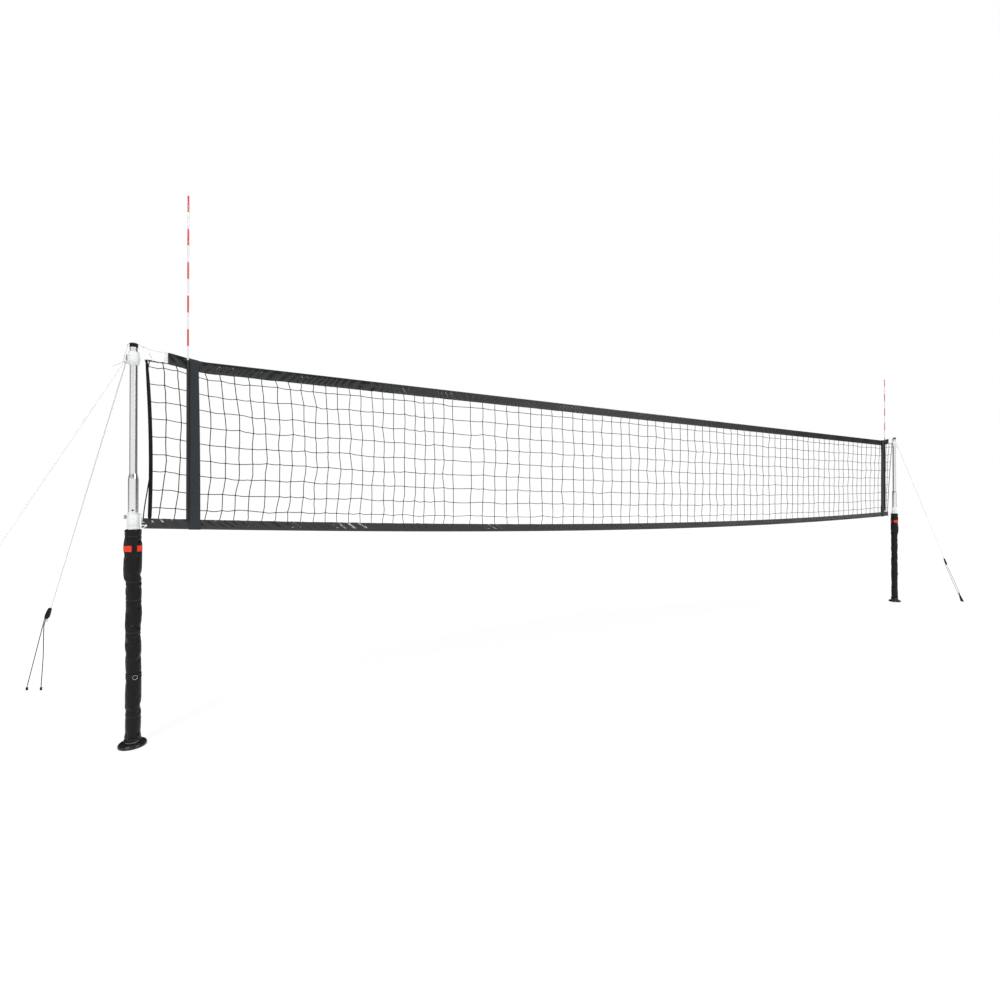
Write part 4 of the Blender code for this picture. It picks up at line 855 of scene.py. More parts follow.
@dataclass
class PostHardware:
    """One post: its foot, tubes, collar, cap, guy ring and the two controls."""

    side: Side
    disc_radius: float = 0.07
    disc_thickness: float = 0.022
    flange_radius: float = 0.0335
    flange_top: float = 0.03
    tube_wall: float = 0.002
    mast_bottom: float = 0.8983
    swage_bottom: float = 1.53
    swage_height: float = 0.018
    knob_height: float = 1.305
    knob_length: float = 0.012
    knob_lobes: int = 6
    button_height: float = 1.343
    button_radius: float = 0.0048
    lug_out: float = 0.041
    lug_aside: float = 0.022
    ring_drops: tuple[float, ...] = (0.0267, 0.0347, 0.0537, 0.0697, 0.0837, 0.0957, 0.1017)
    ring_walls: tuple[float, ...] = (0.0072, 0.0075, 0.0107, 0.0117, 0.0097, 0.0057, 0.0035)

    @property
    def x(self) -> float:
        """The post's axis."""
        return LAYOUT.x(self.side)

    @property
    def mast(self) -> str:
        """The body of this post's mast."""
        return f"{self.side.label}_mast"

    def build(self) -> None:
        """Builds and dresses the whole post, but for its sleeve."""
        self.foot()
        self.collar()
        self.tube()
        self.cap()
        self.guy_ring()
        self.cleat()
        self.controls()

    def out(self, distance: float, y: float = 0.0, z: float = 0.0) -> Vector:
        """A place at this distance outward from the post's axis."""
        return Vector((self.x + self.side.value * distance, y, z))

    def round(self, outline: Outline, steps: int) -> Shape:
        """An outline turned round the post's axis."""
        return turned(outline, (self.x, 0.0, 0.0), steps)

    def foot(self) -> None:
        """The rubber disc, and the plug that stands in it under the lower tube."""
        name, edge, top, flange = self.side.label, self.disc_radius, self.disc_thickness, self.flange_radius
        disc = near(0.0, 0.0, (0, 6), (15.3, 6)) + near(0.0, top, (15.3, -1), (35, -1), (38.5, -3), (43, -4.2))
        disc += near(0.0, top, (49, -3), (54, -0.8), (58, 0), (62, -0.8))
        disc += near(edge, top, (-4.5, -3), (-1.8, -6.5), (-0.3, -11)) + near(edge, 0.0, (0, 7.5), (-0.3, 5.5))
        disc += near(edge, 0.0, (-1.5, 4.6), (-0.3, 3.8), (-0.6, 1.2), (-2, 0)) + [(0.0, 0.0)]
        shape = soften(self.round(disc, 96), 0.0006, 2, 50.0)
        SHOP.own("foot_disc", name, shape, FINISHES.disc_rubber, "posts", "base_disc")
        plug = [(0.0, 0.0063), (0.015, 0.0063), (0.015, 0.0223), (flange, 0.0223), (flange, self.flange_top)]
        plug += [(0.0252, self.flange_top), (0.0252, 0.09), (0.0, 0.09)]
        SHOP.own("foot_plug", name, soften(self.round(plug, 64), 0.0008), FINISHES.grey_plastic, "posts", "base_plug")

    def collar(self) -> None:
        """The white collar over the lower tube, with two shallow grooves and the knob's hole."""
        radius, top, low = LAYOUT.collar_radius, LAYOUT.collar_top, LAYOUT.pad_top + 0.0003
        outline = [(0.0255, top)] + near(radius, top, (-3, 0), (-0.8, -1.6), (0, -4))
        for groove in (top - 0.0075, low + 0.012):
            outline += near(radius, groove, (0, 1.2), (-0.8, 0), (0, -1.2))
        outline += near(radius, low, (0, 0.6), (-0.6, 0)) + [(0.0283, low), (0.0283, 1.2853), (0.0255, 1.2853)]
        start, end = (self.out(distance, 0.0, self.knob_height) for distance in (0.012, 0.046))
        shape = drilled(self.round(outline, 72), start, end, 0.0035)
        SHOP.own("clamp_collar", self.side.label, shape, FINISHES.white_plastic, "posts", "collar")

    def tube(self) -> None:
        """The mast, which narrows to its thinner top section, with the button's hole."""
        wide, thin = LAYOUT.mast_radius, LAYOUT.mast_top_radius
        start, fall = self.swage_bottom + self.swage_height + 0.012, self.swage_height + 0.026
        outer = [(thin, LAYOUT.mast_top)]
        outer += [(thin + (wide - thin) * eased(step / 9), start - fall * step / 9) for step in range(10)]
        outer.append((wide, self.mast_bottom))
        inner = [(radius - self.tube_wall, height) for radius, height in reversed(outer)]
        start, end = (Vector((self.x, y, self.button_height)) for y in (-0.019, -0.029))
        shape = drilled(self.round(outer + inner, 72), start, end, self.button_radius + 0.0005)
        SHOP.own("mast", self.side.label, shape, FINISHES.tube, self.mast, "mast_tube", 50.0)

    def cap(self) -> None:
        """The black end cap, with the groove that the head rope runs in."""
        radius, low, top = LAYOUT.cap_radius, LAYOUT.cap_bottom, LAYOUT.cap_top
        outline = [(0.0, top)] + near(radius, top, (-4.5, 0), (-1.8, -0.9), (-0.4, -3), (0, -6))
        outline += near(radius, low, (0, 4.5), (-0.7, 3.5), (0, 2.5), (0, 0))
        outline += near(0.0, low, (16.7, 0), (16.7, -26), (0, -26))
        groove = block((self.x - 0.04, -0.0035, top - 0.0065), (self.x + 0.04, 0.0035, top + 0.02), 0.0012)
        shape = carved(self.round(outline, 64), groove)
        SHOP.own("mast_cap", self.side.label, shape, FINISHES.black_rubber, self.mast, "post_cap")

    def guy_ring(self) -> None:
        """The white bulb with its two drilled lugs, a rib under each."""
        inner, top = LAYOUT.mast_top_radius + 0.0003, LAYOUT.mast_top
        points = [Vector((inner + wall, 0.0, top - drop)) for drop, wall in zip(self.ring_drops, self.ring_walls)]
        outline = [(spot.x, spot.z) for spot in smooth_route(points, [2, 3, 3, 3, 3, 2])]
        outline += [(inner, outline[-1][1]), (inner, outline[0][1])]
        parts = [self.round(outline, 64)]
        for row in Row:
            start = self.out(inner + 0.0037, row.value * 0.011, LAYOUT.lug_height)
            lug = self.out(self.lug_out, row.value * self.lug_aside, LAYOUT.lug_height)
            end = lug + (lug - start).normalized() * 0.01
            route, sizes = [start, (start + lug) / 2, lug, end], [0.0105, 0.011, 0.0105, 0.006]
            plate = sweep(route, sizes, 24, 0.23, (lug - start).cross(UP).normalized())
            parts += [drilled(plate, lug - UP * 0.01, lug + UP * 0.01, 0.004), ring(lug, UP, 0.005, 0.0013)]
        rib = self.out(0.0, 0.0, top - self.ring_drops[2])
        parts.append(ring(rib, UP, inner + self.ring_walls[2], 0.0011, 64, 8))
        SHOP.own("lug_ring", self.side.label, gathered(parts), FINISHES.white_plastic, self.mast, "guy_ring")

    def cleat(self) -> None:
        """The grey rope cleat on the ring's outer side, with its two horns."""
        face, top, low = LAYOUT.ring_radius + 0.0003, LAYOUT.cleat_top, LAYOUT.cleat_bottom
        spine = near(face, top, (2.2, -1), (2.6, -12)) + near(face, (top + low) / 2, (5, 0))
        spine += near(face, low, (9, 10), (11.5, 2))
        points = smooth_route([self.out(distance, 0.0, z) for distance, z in spine], [3, 3, 3, 2])
        sizes = [0.0036, 0.0052, 0.0056, 0.0058, 0.006, 0.006, 0.006, 0.0058, 0.0056, 0.0054, 0.0048, 0.0032]
        horn = sweep(points, sizes, 20, 0.42, Vector((0.0, 1.0, 0.0)))
        back = block(self.out(face, -0.005, low + 0.014), self.out(face + 0.004, 0.005, top - 0.006), 0.0012)
        shape = gathered([horn, back])
        SHOP.own("cleat", self.side.label, shape, FINISHES.grey_plastic, self.mast, "rope_cleat")

    def controls(self) -> None:
        """The lobed clamp knob and the domed height button."""
        name, head = self.side.label, LAYOUT.collar_radius + 0.001
        far = head + self.knob_length
        stations = [(0.0253, 0.003)] + near(head, 0.0, (0, 3), (0.2, 8.5), (1.2, 10), (3, 11))
        stations += near(far, 0.0, (-3, 11), (-1, 10), (0, 8.5), (0, 6.2), (-1, 5.4))
        points = [self.out(distance, 0.0, self.knob_height) for distance, _ in stations]
        knob = sweep(points, [size for _, size in stations], 60, 1.0, UP)
        for corner in knob.verts:
            arm = Vector((0.0, corner.co.y, corner.co.z - self.knob_height))
            if arm.length > 0.007:
                corner.co += arm * (0.085 * math.cos(self.knob_lobes * math.atan2(arm.y, arm.z)) - 0.02)
        SHOP.own("knob", name, knob, FINISHES.grey_plastic, f"{name}_knob", "clamp_knob", 50.0)
        face, size = LAYOUT.mast_radius + 0.004, self.button_radius
        profile = near(face, 0.0, (0, 1), (-0.3, 2.4), (-1.1, 3.8), (-2.4, 4.6))
        profile += near(0.0, size, (face * 1000 - 3.6, 0), (21.3, 0)) + near(0.0, 0.007, (21.2, 0), (19.4, 0))
        points = [Vector((self.x, -depth, self.button_height)) for depth, _ in profile]
        dome = sweep(points, [radius for _, radius in profile], 32)
        SHOP.own("button", name, dome, FINISHES.black_plastic, f"{name}_button", "height_button")


@dataclass
class Sleeve:
    """The padded sleeve of a post, with its reflective band, strap and ring."""

    side: Side
    fabric: "SleeveFabric"
    band_height: float = 1.125
    band_width: float = 0.033
    band_starts: tuple[float, float] = (-59.0, -165.0)
    band_sweep: float = 326.0
    strap_height: float = 0.4
    strap_width: float = 0.028
    ring_radius: float = 0.0115
    ring_angle: float = -68.0
    wire: float = 0.0017

    def build(self) -> None:
        """Places the sleeve round its post and lays its trim on it."""
        name, x = self.side.label, LAYOUT.x(self.side)
        shape = bmesh.new()
        shape.from_mesh(self.fabric.cloth())
        turn = self.side.of((0.0, 160.0))
        place = Matrix.Translation((x, 0.0, 0.0)) @ Matrix.Rotation(math.radians(turn), 4, "Z")
        bmesh.ops.transform(shape, matrix=place, verts=shape.verts)
        tree = BVHTree.FromBMesh(shape)
        pad = SHOP.own("sleeve", name, shape, FINISHES.sleeve, "posts", "post_pad", 60.0)
        start = self.side.of(self.band_starts)
        tape = self.wrapped(tree, self.band_height, self.band_width, start, self.band_sweep, 0.0007)
        SHOP.own("reflective_tape", name, tape, FINISHES.reflector, "posts", "pad_reflector", 60.0)
        level, wide = self.strap_height, self.strap_width
        strap = self.wrapped(tree, level, wide, -100.0, 360.0, 0.0012)
        flap = self.wrapped(tree, level, wide * 0.94, -60.0, 62.0, 0.0024)
        keeper = self.wrapped(tree, level - 0.017, 0.01, -97.0, 14.0, 0.0026)
        webbing = gathered([strap, flap, keeper])
        SHOP.own("ankle_strap", name, webbing, FINISHES.webbing, "posts", "pad_strap", 60.0)
        surface = max(self.reach(tree, self.ring_angle, level + up) for up in (-0.012, 0.0, 0.01))
        out = polar(math.radians(self.ring_angle))
        centre = Vector((x, 0.0, level - 0.004)) + out * (surface + 0.0052)
        hoop = ring(centre, (out + UP * 0.12).normalized(), self.ring_radius, self.wire)
        SHOP.piece(f"strap_ring_{name}", hoop, FINISHES.dull_wire, "posts")

    def reach(self, tree: BVHTree, angle: float, height: float) -> float:
        """Distance from the post's axis to the sleeve's surface in one direction."""
        x = LAYOUT.x(self.side)
        out = polar(math.radians(angle))
        start = Vector((x, 0.0, height)) + out * 0.12
        spot, _, _, _ = tree.ray_cast(start, -out, 0.09)
        return 0.048 if spot is None else Vector((spot.x - x, spot.y)).length

    def wrapped(self, tree: BVHTree, height: float, width: float, start: float, sweep_by: float, thick: float) -> Shape:
        """A flat ribbon laid round the sleeve.

        Args:
            tree: The sleeve's surface.
            height: The ribbon's middle.
            width: Its width.
            start: The angle where it starts, in degrees.
            sweep_by: The angle that it covers.
            thick: Its thickness.

        Returns:
            The closed ribbon.
        """
        shape, cloth = cloth_grid(max(6, int(sweep_by / 3.0)), 4)
        x = LAYOUT.x(self.side)
        for corner in shape.verts:
            around = start + (corner.co.x + 0.5) * sweep_by
            level = height + corner.co.y * width
            spread = [(around + off, level + up) for off in (-2.0, 0.0, 2.0) for up in (-0.004, 0.0, 0.004)]
            out = max(self.reach(tree, *spot) for spot in spread) + 0.0004
            turn = math.radians(around)
            corner.co = Vector((x, 0.0, 0.0)) + polar(turn, out, level)
            corner[cloth] = polar(turn, 1.0, level)
        if sweep_by >= 359.0:
            bmesh.ops.remove_doubles(shape, verts=shape.verts, dist=1e-5)
        outward(shape)
        middle = Vector((x, 0.0, height))
        if sum(face.normal.dot(face.calc_center_median() - middle) for face in shape.faces) < 0.0:
            bmesh.ops.reverse_faces(shape, faces=shape.faces)
        return thickened(shape, -thick)


@dataclass
class SleeveFabric:
    """The sleeve's cloth, blown up and creased once, and then used on both posts."""

    top: float = LAYOUT.pad_top
    bottom: float = 0.0303
    inner: float = 0.0283
    widths: Outline = (
        (0.03, 0.044), (0.052, 0.04), (0.085, 0.0368), (0.13, 0.037), (0.6, 0.0366),
        (0.9, 0.0372), (0.95, 0.0405), (1.02, 0.044), (1.12, 0.0425), (1.234, 0.04),
    )
    drifts: Outline = (
        (0.03, 0.001), (0.15, 0.003), (0.35, 0.0038), (0.62, 0.0012), (0.8, 0.0036),
        (0.915, 0.0032), (0.985, -0.0022), (1.08, -0.0012), (1.234, 0.0),
    )
    pinches: tuple[tuple[float, float, float], ...] = (
        (1.196, 0.0012, 0.006), (0.934, 0.003, 0.011), (0.83, 0.001, 0.006),
        (0.646, 0.0014, 0.006), (0.4, 0.0014, 0.016), (0.168, 0.0012, 0.006),
    )
    around: int = 60
    levels: int = 200
    cap: float = 0.005
    frames: int = 20
    made: list[bpy.types.Mesh] = field(default_factory=list)

    @staticmethod
    def read(table: Outline, height: float) -> float:
        """Reads a smooth value between a table's heights."""
        for (low, one), (high, other) in zip(table, table[1:]):
            if height <= high:
                return one + (other - one) * eased(clamp((height - low) / (high - low)))
        return table[-1][1]

    def radius_at(self, height: float) -> float:
        """The radius before the cloth is blown up."""
        pinched = sum(depth * bell(height, middle, width) for middle, depth, width in self.pinches)
        return self.read(self.widths, height) - pinched

    def held(self, height: float) -> float:
        """How firmly a height is held: 1 at seams and rims."""
        grip = max(bell(height, middle, width * 0.55) for middle, _, width in self.pinches)
        rim = min(height - self.bottom, self.top - height)
        return max(grip if grip > 0.6 else 0.0, 1.0 if rim < 0.006 else 0.0)

    def blank(self) -> Shape:
        """The turned sleeve with seeded diagonal folds and gathers."""
        span = self.top - self.bottom
        heights = [self.top - 0.0015 - (span - 0.003) * step / self.levels for step in range(self.levels + 1)]
        outline = [(self.radius_at(self.top) - 0.0035, self.top)]
        outline += [(self.radius_at(height), height) for height in heights]
        outline += [(self.radius_at(self.bottom) - 0.0035, self.bottom), (self.inner, self.bottom)]
        outline += [(self.inner, self.bottom + span * step / 12) for step in range(1, 12)]
        outline.append((self.inner, self.top))
        shape = turned(outline, (0.0, 0.0, 0.0), self.around)
        cloth = cloth_layer(shape)
        for corner in shape.verts:
            reach = math.hypot(corner.co.x, corner.co.y)
            turn = math.atan2(corner.co.y, corner.co.x)
            corner[cloth] = polar(turn, 1.0, corner.co.z)
            if reach < self.inner + 0.004:
                continue
            corner.co.x += self.read(self.drifts, corner.co.z)
            slack = 1.0 - 0.75 * self.held(corner.co.z)
            lean = polar(turn, 1.3, corner.co.z * 5.0 + 1.1 * math.sin(turn))
            fold = noise_at(lean, 1.5, 3.7) * 0.6 + noise_at(lean, 3.4, 9.1) * 0.4
            crease = (1.0 - min(1.0, abs(noise_at(lean, 2.1, 21.0)) * 4.0)) ** 2
            gather = bell(corner.co.z - self.top, -0.022, 0.02)
            ripple = math.sin(corner.co.z * math.tau / 0.0105 + 1.4 * noise_at(lean, 1.0, 5.0)) * gather
            bulge = (fold * 0.0009 - crease * 0.001) * slack + ripple * 0.0009
            bulge -= bell(math.degrees(turn), 118.0, 2.2) * 0.0018
            corner.co.x += math.cos(turn) * bulge
            corner.co.y += math.sin(turn) * bulge
        return shape

    def cloth(self) -> bpy.types.Mesh:
        """The finished cloth round the origin, made once."""
        if not self.made:
            data = mesh_data("sleeve_fabric", self.blank())
            self.made.append(self.blow(data))
        return self.made[0]

    def blow(self, data: bpy.types.Mesh) -> bpy.types.Mesh:
        """Blows the cloth up in a simulation, with its seams held, and keeps each point's move short."""
        rest = [corner.co.copy() for corner in data.vertices]
        pad = placed("sleeve_fabric", data)
        group = pad.vertex_groups.new(name="held")
        for index, spot in enumerate(rest):
            inside = math.hypot(spot.x, spot.y) < self.inner + 0.0035
            group.add([index], 1.0 if inside else self.held(spot.z), "REPLACE")
        cloth = pad.modifiers.new("Cloth", "CLOTH")
        settings = cloth.settings
        wanted = {"quality": 4, "mass": 0.25, "tension_stiffness": 18.0, "compression_stiffness": 18.0}
        wanted |= {"shear_stiffness": 6.0, "bending_stiffness": 1.2, "use_pressure": True}
        wanted |= {"uniform_pressure_force": 4.0, "shrink_min": -0.022, "vertex_group_mass": "held"}
        for key, value in wanted.items():
            setattr(settings, key, value)
        settings.effector_weights.gravity = 0.0
        cloth.point_cache.frame_start, cloth.point_cache.frame_end = 1, self.frames
        for step in range(1, self.frames + 1):
            bpy.context.scene.frame_set(step)
        graph = bpy.context.evaluated_depsgraph_get()
        blown = pad.evaluated_get(graph).to_mesh()
        moved = [corner.co.copy() for corner in blown.vertices]
        pad.modifiers.clear()
        for corner, start, end in zip(data.vertices, rest, moved):
            move = end - start
            if move.length > self.cap:
                move *= self.cap / move.length
            corner.co = start + move
            reach = math.hypot(corner.co.x, corner.co.y)
            floor = self.inner + 0.0035
            if math.hypot(start.x, start.y) > floor > reach:
                corner.co.x, corner.co.y = corner.co.x * floor / reach, corner.co.y * floor / reach
        bpy.context.scene.frame_set(1)
        finer = pad.modifiers.new("Subdivision", "SUBSURF")
        finer.levels = finer.render_levels = 1
        smooth = bpy.data.meshes.new_from_object(pad.evaluated_get(bpy.context.evaluated_depsgraph_get()))
        bpy.data.objects.remove(pad, do_unlink=True)
        LOG.info("sleeve cloth: blown up over %d frames", self.frames)
        return smooth


# Net


@dataclass
class NetBands:
    """The coated bands along the net's upper and lower edges, the side bands and their pockets."""

    wall: float = 0.0013
    mouth: float = 0.002
    step: float = 0.0058
    creases: tuple[float, float] = (0.007, 0.0115)
    turn_over: float = 0.006
    side_turn_over: float = 0.04

    def build(self) -> None:
        """Builds all four bands."""
        ends, bottom_ends = (LAYOUT.band_end, LAYOUT.band_end), LAYOUT.bottom_ends
        for label, ends, edge, height, upright, rope in (
            ("upper", ends, LAYOUT.band_top, LAYOUT.top_band, True, "head_rope_line"),
            ("lower", bottom_ends, LAYOUT.band_bottom, LAYOUT.bottom_band, False, "foot_rope_line"),
        ):
            start, end = (LAYOUT.x(side, side.of(ends)) for side in Side)
            shape, slot = self.folded(start, end, edge, height, upright), "top_band" if upright else "bottom_band"
            band = SHOP.piece(f"{label}_band", shape, FINISHES.band, "left_mast", slot, [slot], 60.0)
            end - start
            2.0 * height + self.turn_over
        for side in Side:
            self.side_band(side)

    def section(self, height: float) -> list[tuple[float, float]]:
        """The fold's middle line, as (y, drop below the edge), from the back's hem to the front's."""
        half = LAYOUT.band_half - self.wall / 2
        leg = self.mouth + self.wall / 2
        waist = 4.0 * LAYOUT.band_half
        drops = [height - (height - waist) * share for share in (0.0, 0.05, 0.2, 0.35, 0.5, 0.65, 0.8, 0.92, 1.0)]
        back = [(leg, drop) for drop in drops] + [(half * 0.92, LAYOUT.band_half * 1.9)]
        arcs = [math.pi * step / 8 for step in range(9)]
        fold = [(half * math.cos(turn), half * (1.0 - math.sin(turn)) + self.wall / 2) for turn in arcs]
        return back + fold + [(-y, drop) for y, drop in reversed(back)]

    def creased(self, along: float, share: float, face: float, upright: bool) -> tuple[float, float]:
        """How far the cloth stands out and its hem draws in at one place.

        Args:
            along: The place's X.
            share: 0 at the fold and 1 at the hem.
            face: 1 on the back and -1 on the front.
            upright: Whether this is the upper band.

        Returns:
            The two distances.
        """
        distance = LAYOUT.half_span + along
        bunched = math.exp(-max(0.0, distance - 1.0) / 0.9)
        pitch, lean = (0.044, 0.1) if upright else (0.056, 0.9)
        drift = noise_at(Vector((along * 3.7, share * 0.8, face * 2.0)), 1.0, 4.4) * (2.4 if upright else 1.3)
        turn = math.pi * (along / pitch - share * lean * face + drift + face * 0.3)
        puff = abs(math.sin(turn)) ** (0.8 if upright else 1.5)
        local = noise_at(Vector((along * 4.3, face * 4.0, lean)), 1.0, 12.0)
        local = 0.25 + 0.75 * clamp(local * 2.2 + 0.55)
        fine = noise_at(Vector((along * 60.0, share * 2.0, face * 5.0)), 1.0, 2.0) * 0.5 + 0.5
        slack = eased(clamp((share - 0.02) / 0.34))
        most = self.creases[0 if upright else 1] * (0.22 + 0.78 * bunched)
        for side in Side:
            middle = LAYOUT.x(side, side.of(LAYOUT.side_bands) + LAYOUT.side_band_width / 2)
            most *= 1.0 - 0.86 * math.exp(-((abs(along - middle) / 0.038) ** 4))
        hem = 0.0016 + 0.0024 * noise_at(Vector((along * 13.0, 0.0, lean)), 1.0, 6.0) * (0.4 + 0.6 * bunched)
        return most * slack * (puff * local + 0.14 * fine), max(0.0, hem)

    def folded(self, start: float, end: float, edge: Callable[[float], float], height: float, upright: bool) -> Shape:
        """One strip of cloth, folded over its rope.

        Args:
            start: The strip's left end.
            end: Its right end.
            edge: The height of its folded edge at each X.
            height: How far it reaches from that edge.
            upright: Whether the fold is on top.

        Returns:
            The closed strip.
        """
        section = self.section(height)
        last = len(section) - 1
        shape, cloth = cloth_grid(int((end - start) / self.step), last)
        for corner in shape.verts:
            along = start + (end - start) * (corner.co.x + 0.5)
            y, drop = section[min(last, max(0, round((corner.co.y + 0.5) * last)))]
            face = 1.0 if y > 0.0 else -1.0
            share = clamp(drop / height)
            out, hem = self.creased(along, share, face, upright)
            drop = drop - hem * share if drop > 0.5 * height else drop
            level = edge(along) - drop if upright else edge(along) + drop
            corner.co = Vector((along, y + face * out, level))
            corner[cloth] = (along, drop, 0.0)
        outward(shape)
        front = [face for face in shape.faces if face.calc_center_median().y < -0.002]
        if sum(face.normal.y for face in front) > 0.0:
            bmesh.ops.reverse_faces(shape, faces=shape.faces)
        return thickened(shape, self.wall)

    def side_band(self, side: Side) -> None:
        """The upright band round the net and both long bands, with the antenna's pocket sewn on it."""
        edge, span = side.of(LAYOUT.side_bands), LAYOUT.side_band_width
        wide, wall = LAYOUT.side_band_half + 0.0016, 0.0014
        shape, cloth = cloth_grid(10, 200)
        straight = 0.475
        for corner in shape.verts:
            share, turn = corner.co.x + 0.5, (corner.co.y + 0.5) % 1.0
            x = LAYOUT.x(side, edge + span * share)
            top, low = LAYOUT.band_top(x) + 0.0019, LAYOUT.band_bottom(x) - 0.0019
            tall = top - low
            back, half_turn = turn >= 0.5, turn % 0.5
            if half_turn < straight:
                y, rise = -1.0, tall * (0.006 + 0.988 * half_turn / straight)
            else:
                arc = (half_turn - straight) / (0.5 - straight) * math.pi
                y, rise = -math.cos(arc), tall * (1.0 - 0.006 * (1.0 - math.sin(arc)))
            y, z = (-y, top - rise) if back else (y, low + rise)
            far_off = min(z - low, top - z)
            ease, inward = clamp((far_off - 0.085) / 0.09) ** 2, clamp((share - 0.18) / 0.35)
            spot = Vector((share * 0.8, z * 2.2 + share * 0.5, y * 3.0 + side.value))
            wave = (noise_at(spot, 1.6, 8.0) * 0.5 + 0.5) * 0.0011 + (noise_at(spot, 5.5, 1.0) * 0.5 + 0.5) * 0.0005
            tight = 0.0034 * ease * (inward if y < 0.0 else 1.0)
            reach = math.sin(math.pi * clamp((z - low) / tall))
            x -= side.value * (0.003 * reach + (0.003 + 0.009 * share) * (top - z) / tall)
            corner.co = Vector((x, y * (wide - wall / 2 + wave * min(1.0, far_off * 20.0) - tight), z))
            corner[cloth] = (z, share * span, 0.0)
        bmesh.ops.remove_doubles(shape, verts=shape.verts, dist=1e-5)
        shape = thickened(outward(shape), wall * 0.9)
        height = LAYOUT.band_top(x) - LAYOUT.band_bottom(x)
        pocket = self.pocket(side)
        band = SHOP.own("upright_band", side.label, shape, FINISHES.side_band, "left_mast", "side_band", 60.0)
        flat, rests = (span, 2.0 * height + self.side_turn_over), ["upper_band", "lower_band"]
        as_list(rests)

    def pocket(self, side: Side) -> bpy.types.Object:
        """The narrow cloth pocket that the antenna stands in."""
        inner, outer, centre = 0.0054, 0.0066, LAYOUT.pocket(side)
        floor, top = centre.z, LAYOUT.net_top - 0.004
        heights = [floor + (top - floor) * step / 90 for step in range(1, 91)]
        outline = [(0.0, floor), (inner, floor)] + [(inner, height) for height in heights]
        outline += [(outer + 0.0003, height) for height in reversed(heights)]
        outline += [(outer, floor - 0.003), (0.0, floor - 0.003)]
        shape = turned(outline, (centre.x, centre.y, 0.0), 24)
        cloth = cloth_layer(shape)
        for corner in shape.verts:
            arm = Vector((corner.co.x - centre.x, corner.co.y - centre.y, 0.0))
            turn = math.atan2(arm.y, arm.x)
            corner[cloth] = polar(turn, 1.0, corner.co.z)
            if arm.length > 0.006 and corner.co.z > floor + 0.002:
                spot = polar(turn, 1.0, corner.co.z * 14.0)
                corner.co += arm * (0.1 * (noise_at(spot, 0.9, 6.0) * 0.5 + 0.5))
        inward = centre.x - side.value * 0.01
        flange = block((centre.x, -0.0092, floor + 0.004), (inward, -0.008, top - 0.02), 0.0004)
        layer = cloth_layer(flange)
        for corner in flange.verts:
            corner[layer] = (1.0, (corner.co.x - centre.x) * 20.0, corner.co.z)
        name, shape = f"antenna_pocket_{side.label}", gathered([shape, flange])
        return SHOP.piece(name, shape, FINISHES.pocket, "left_mast", "side_band", (), 60.0)


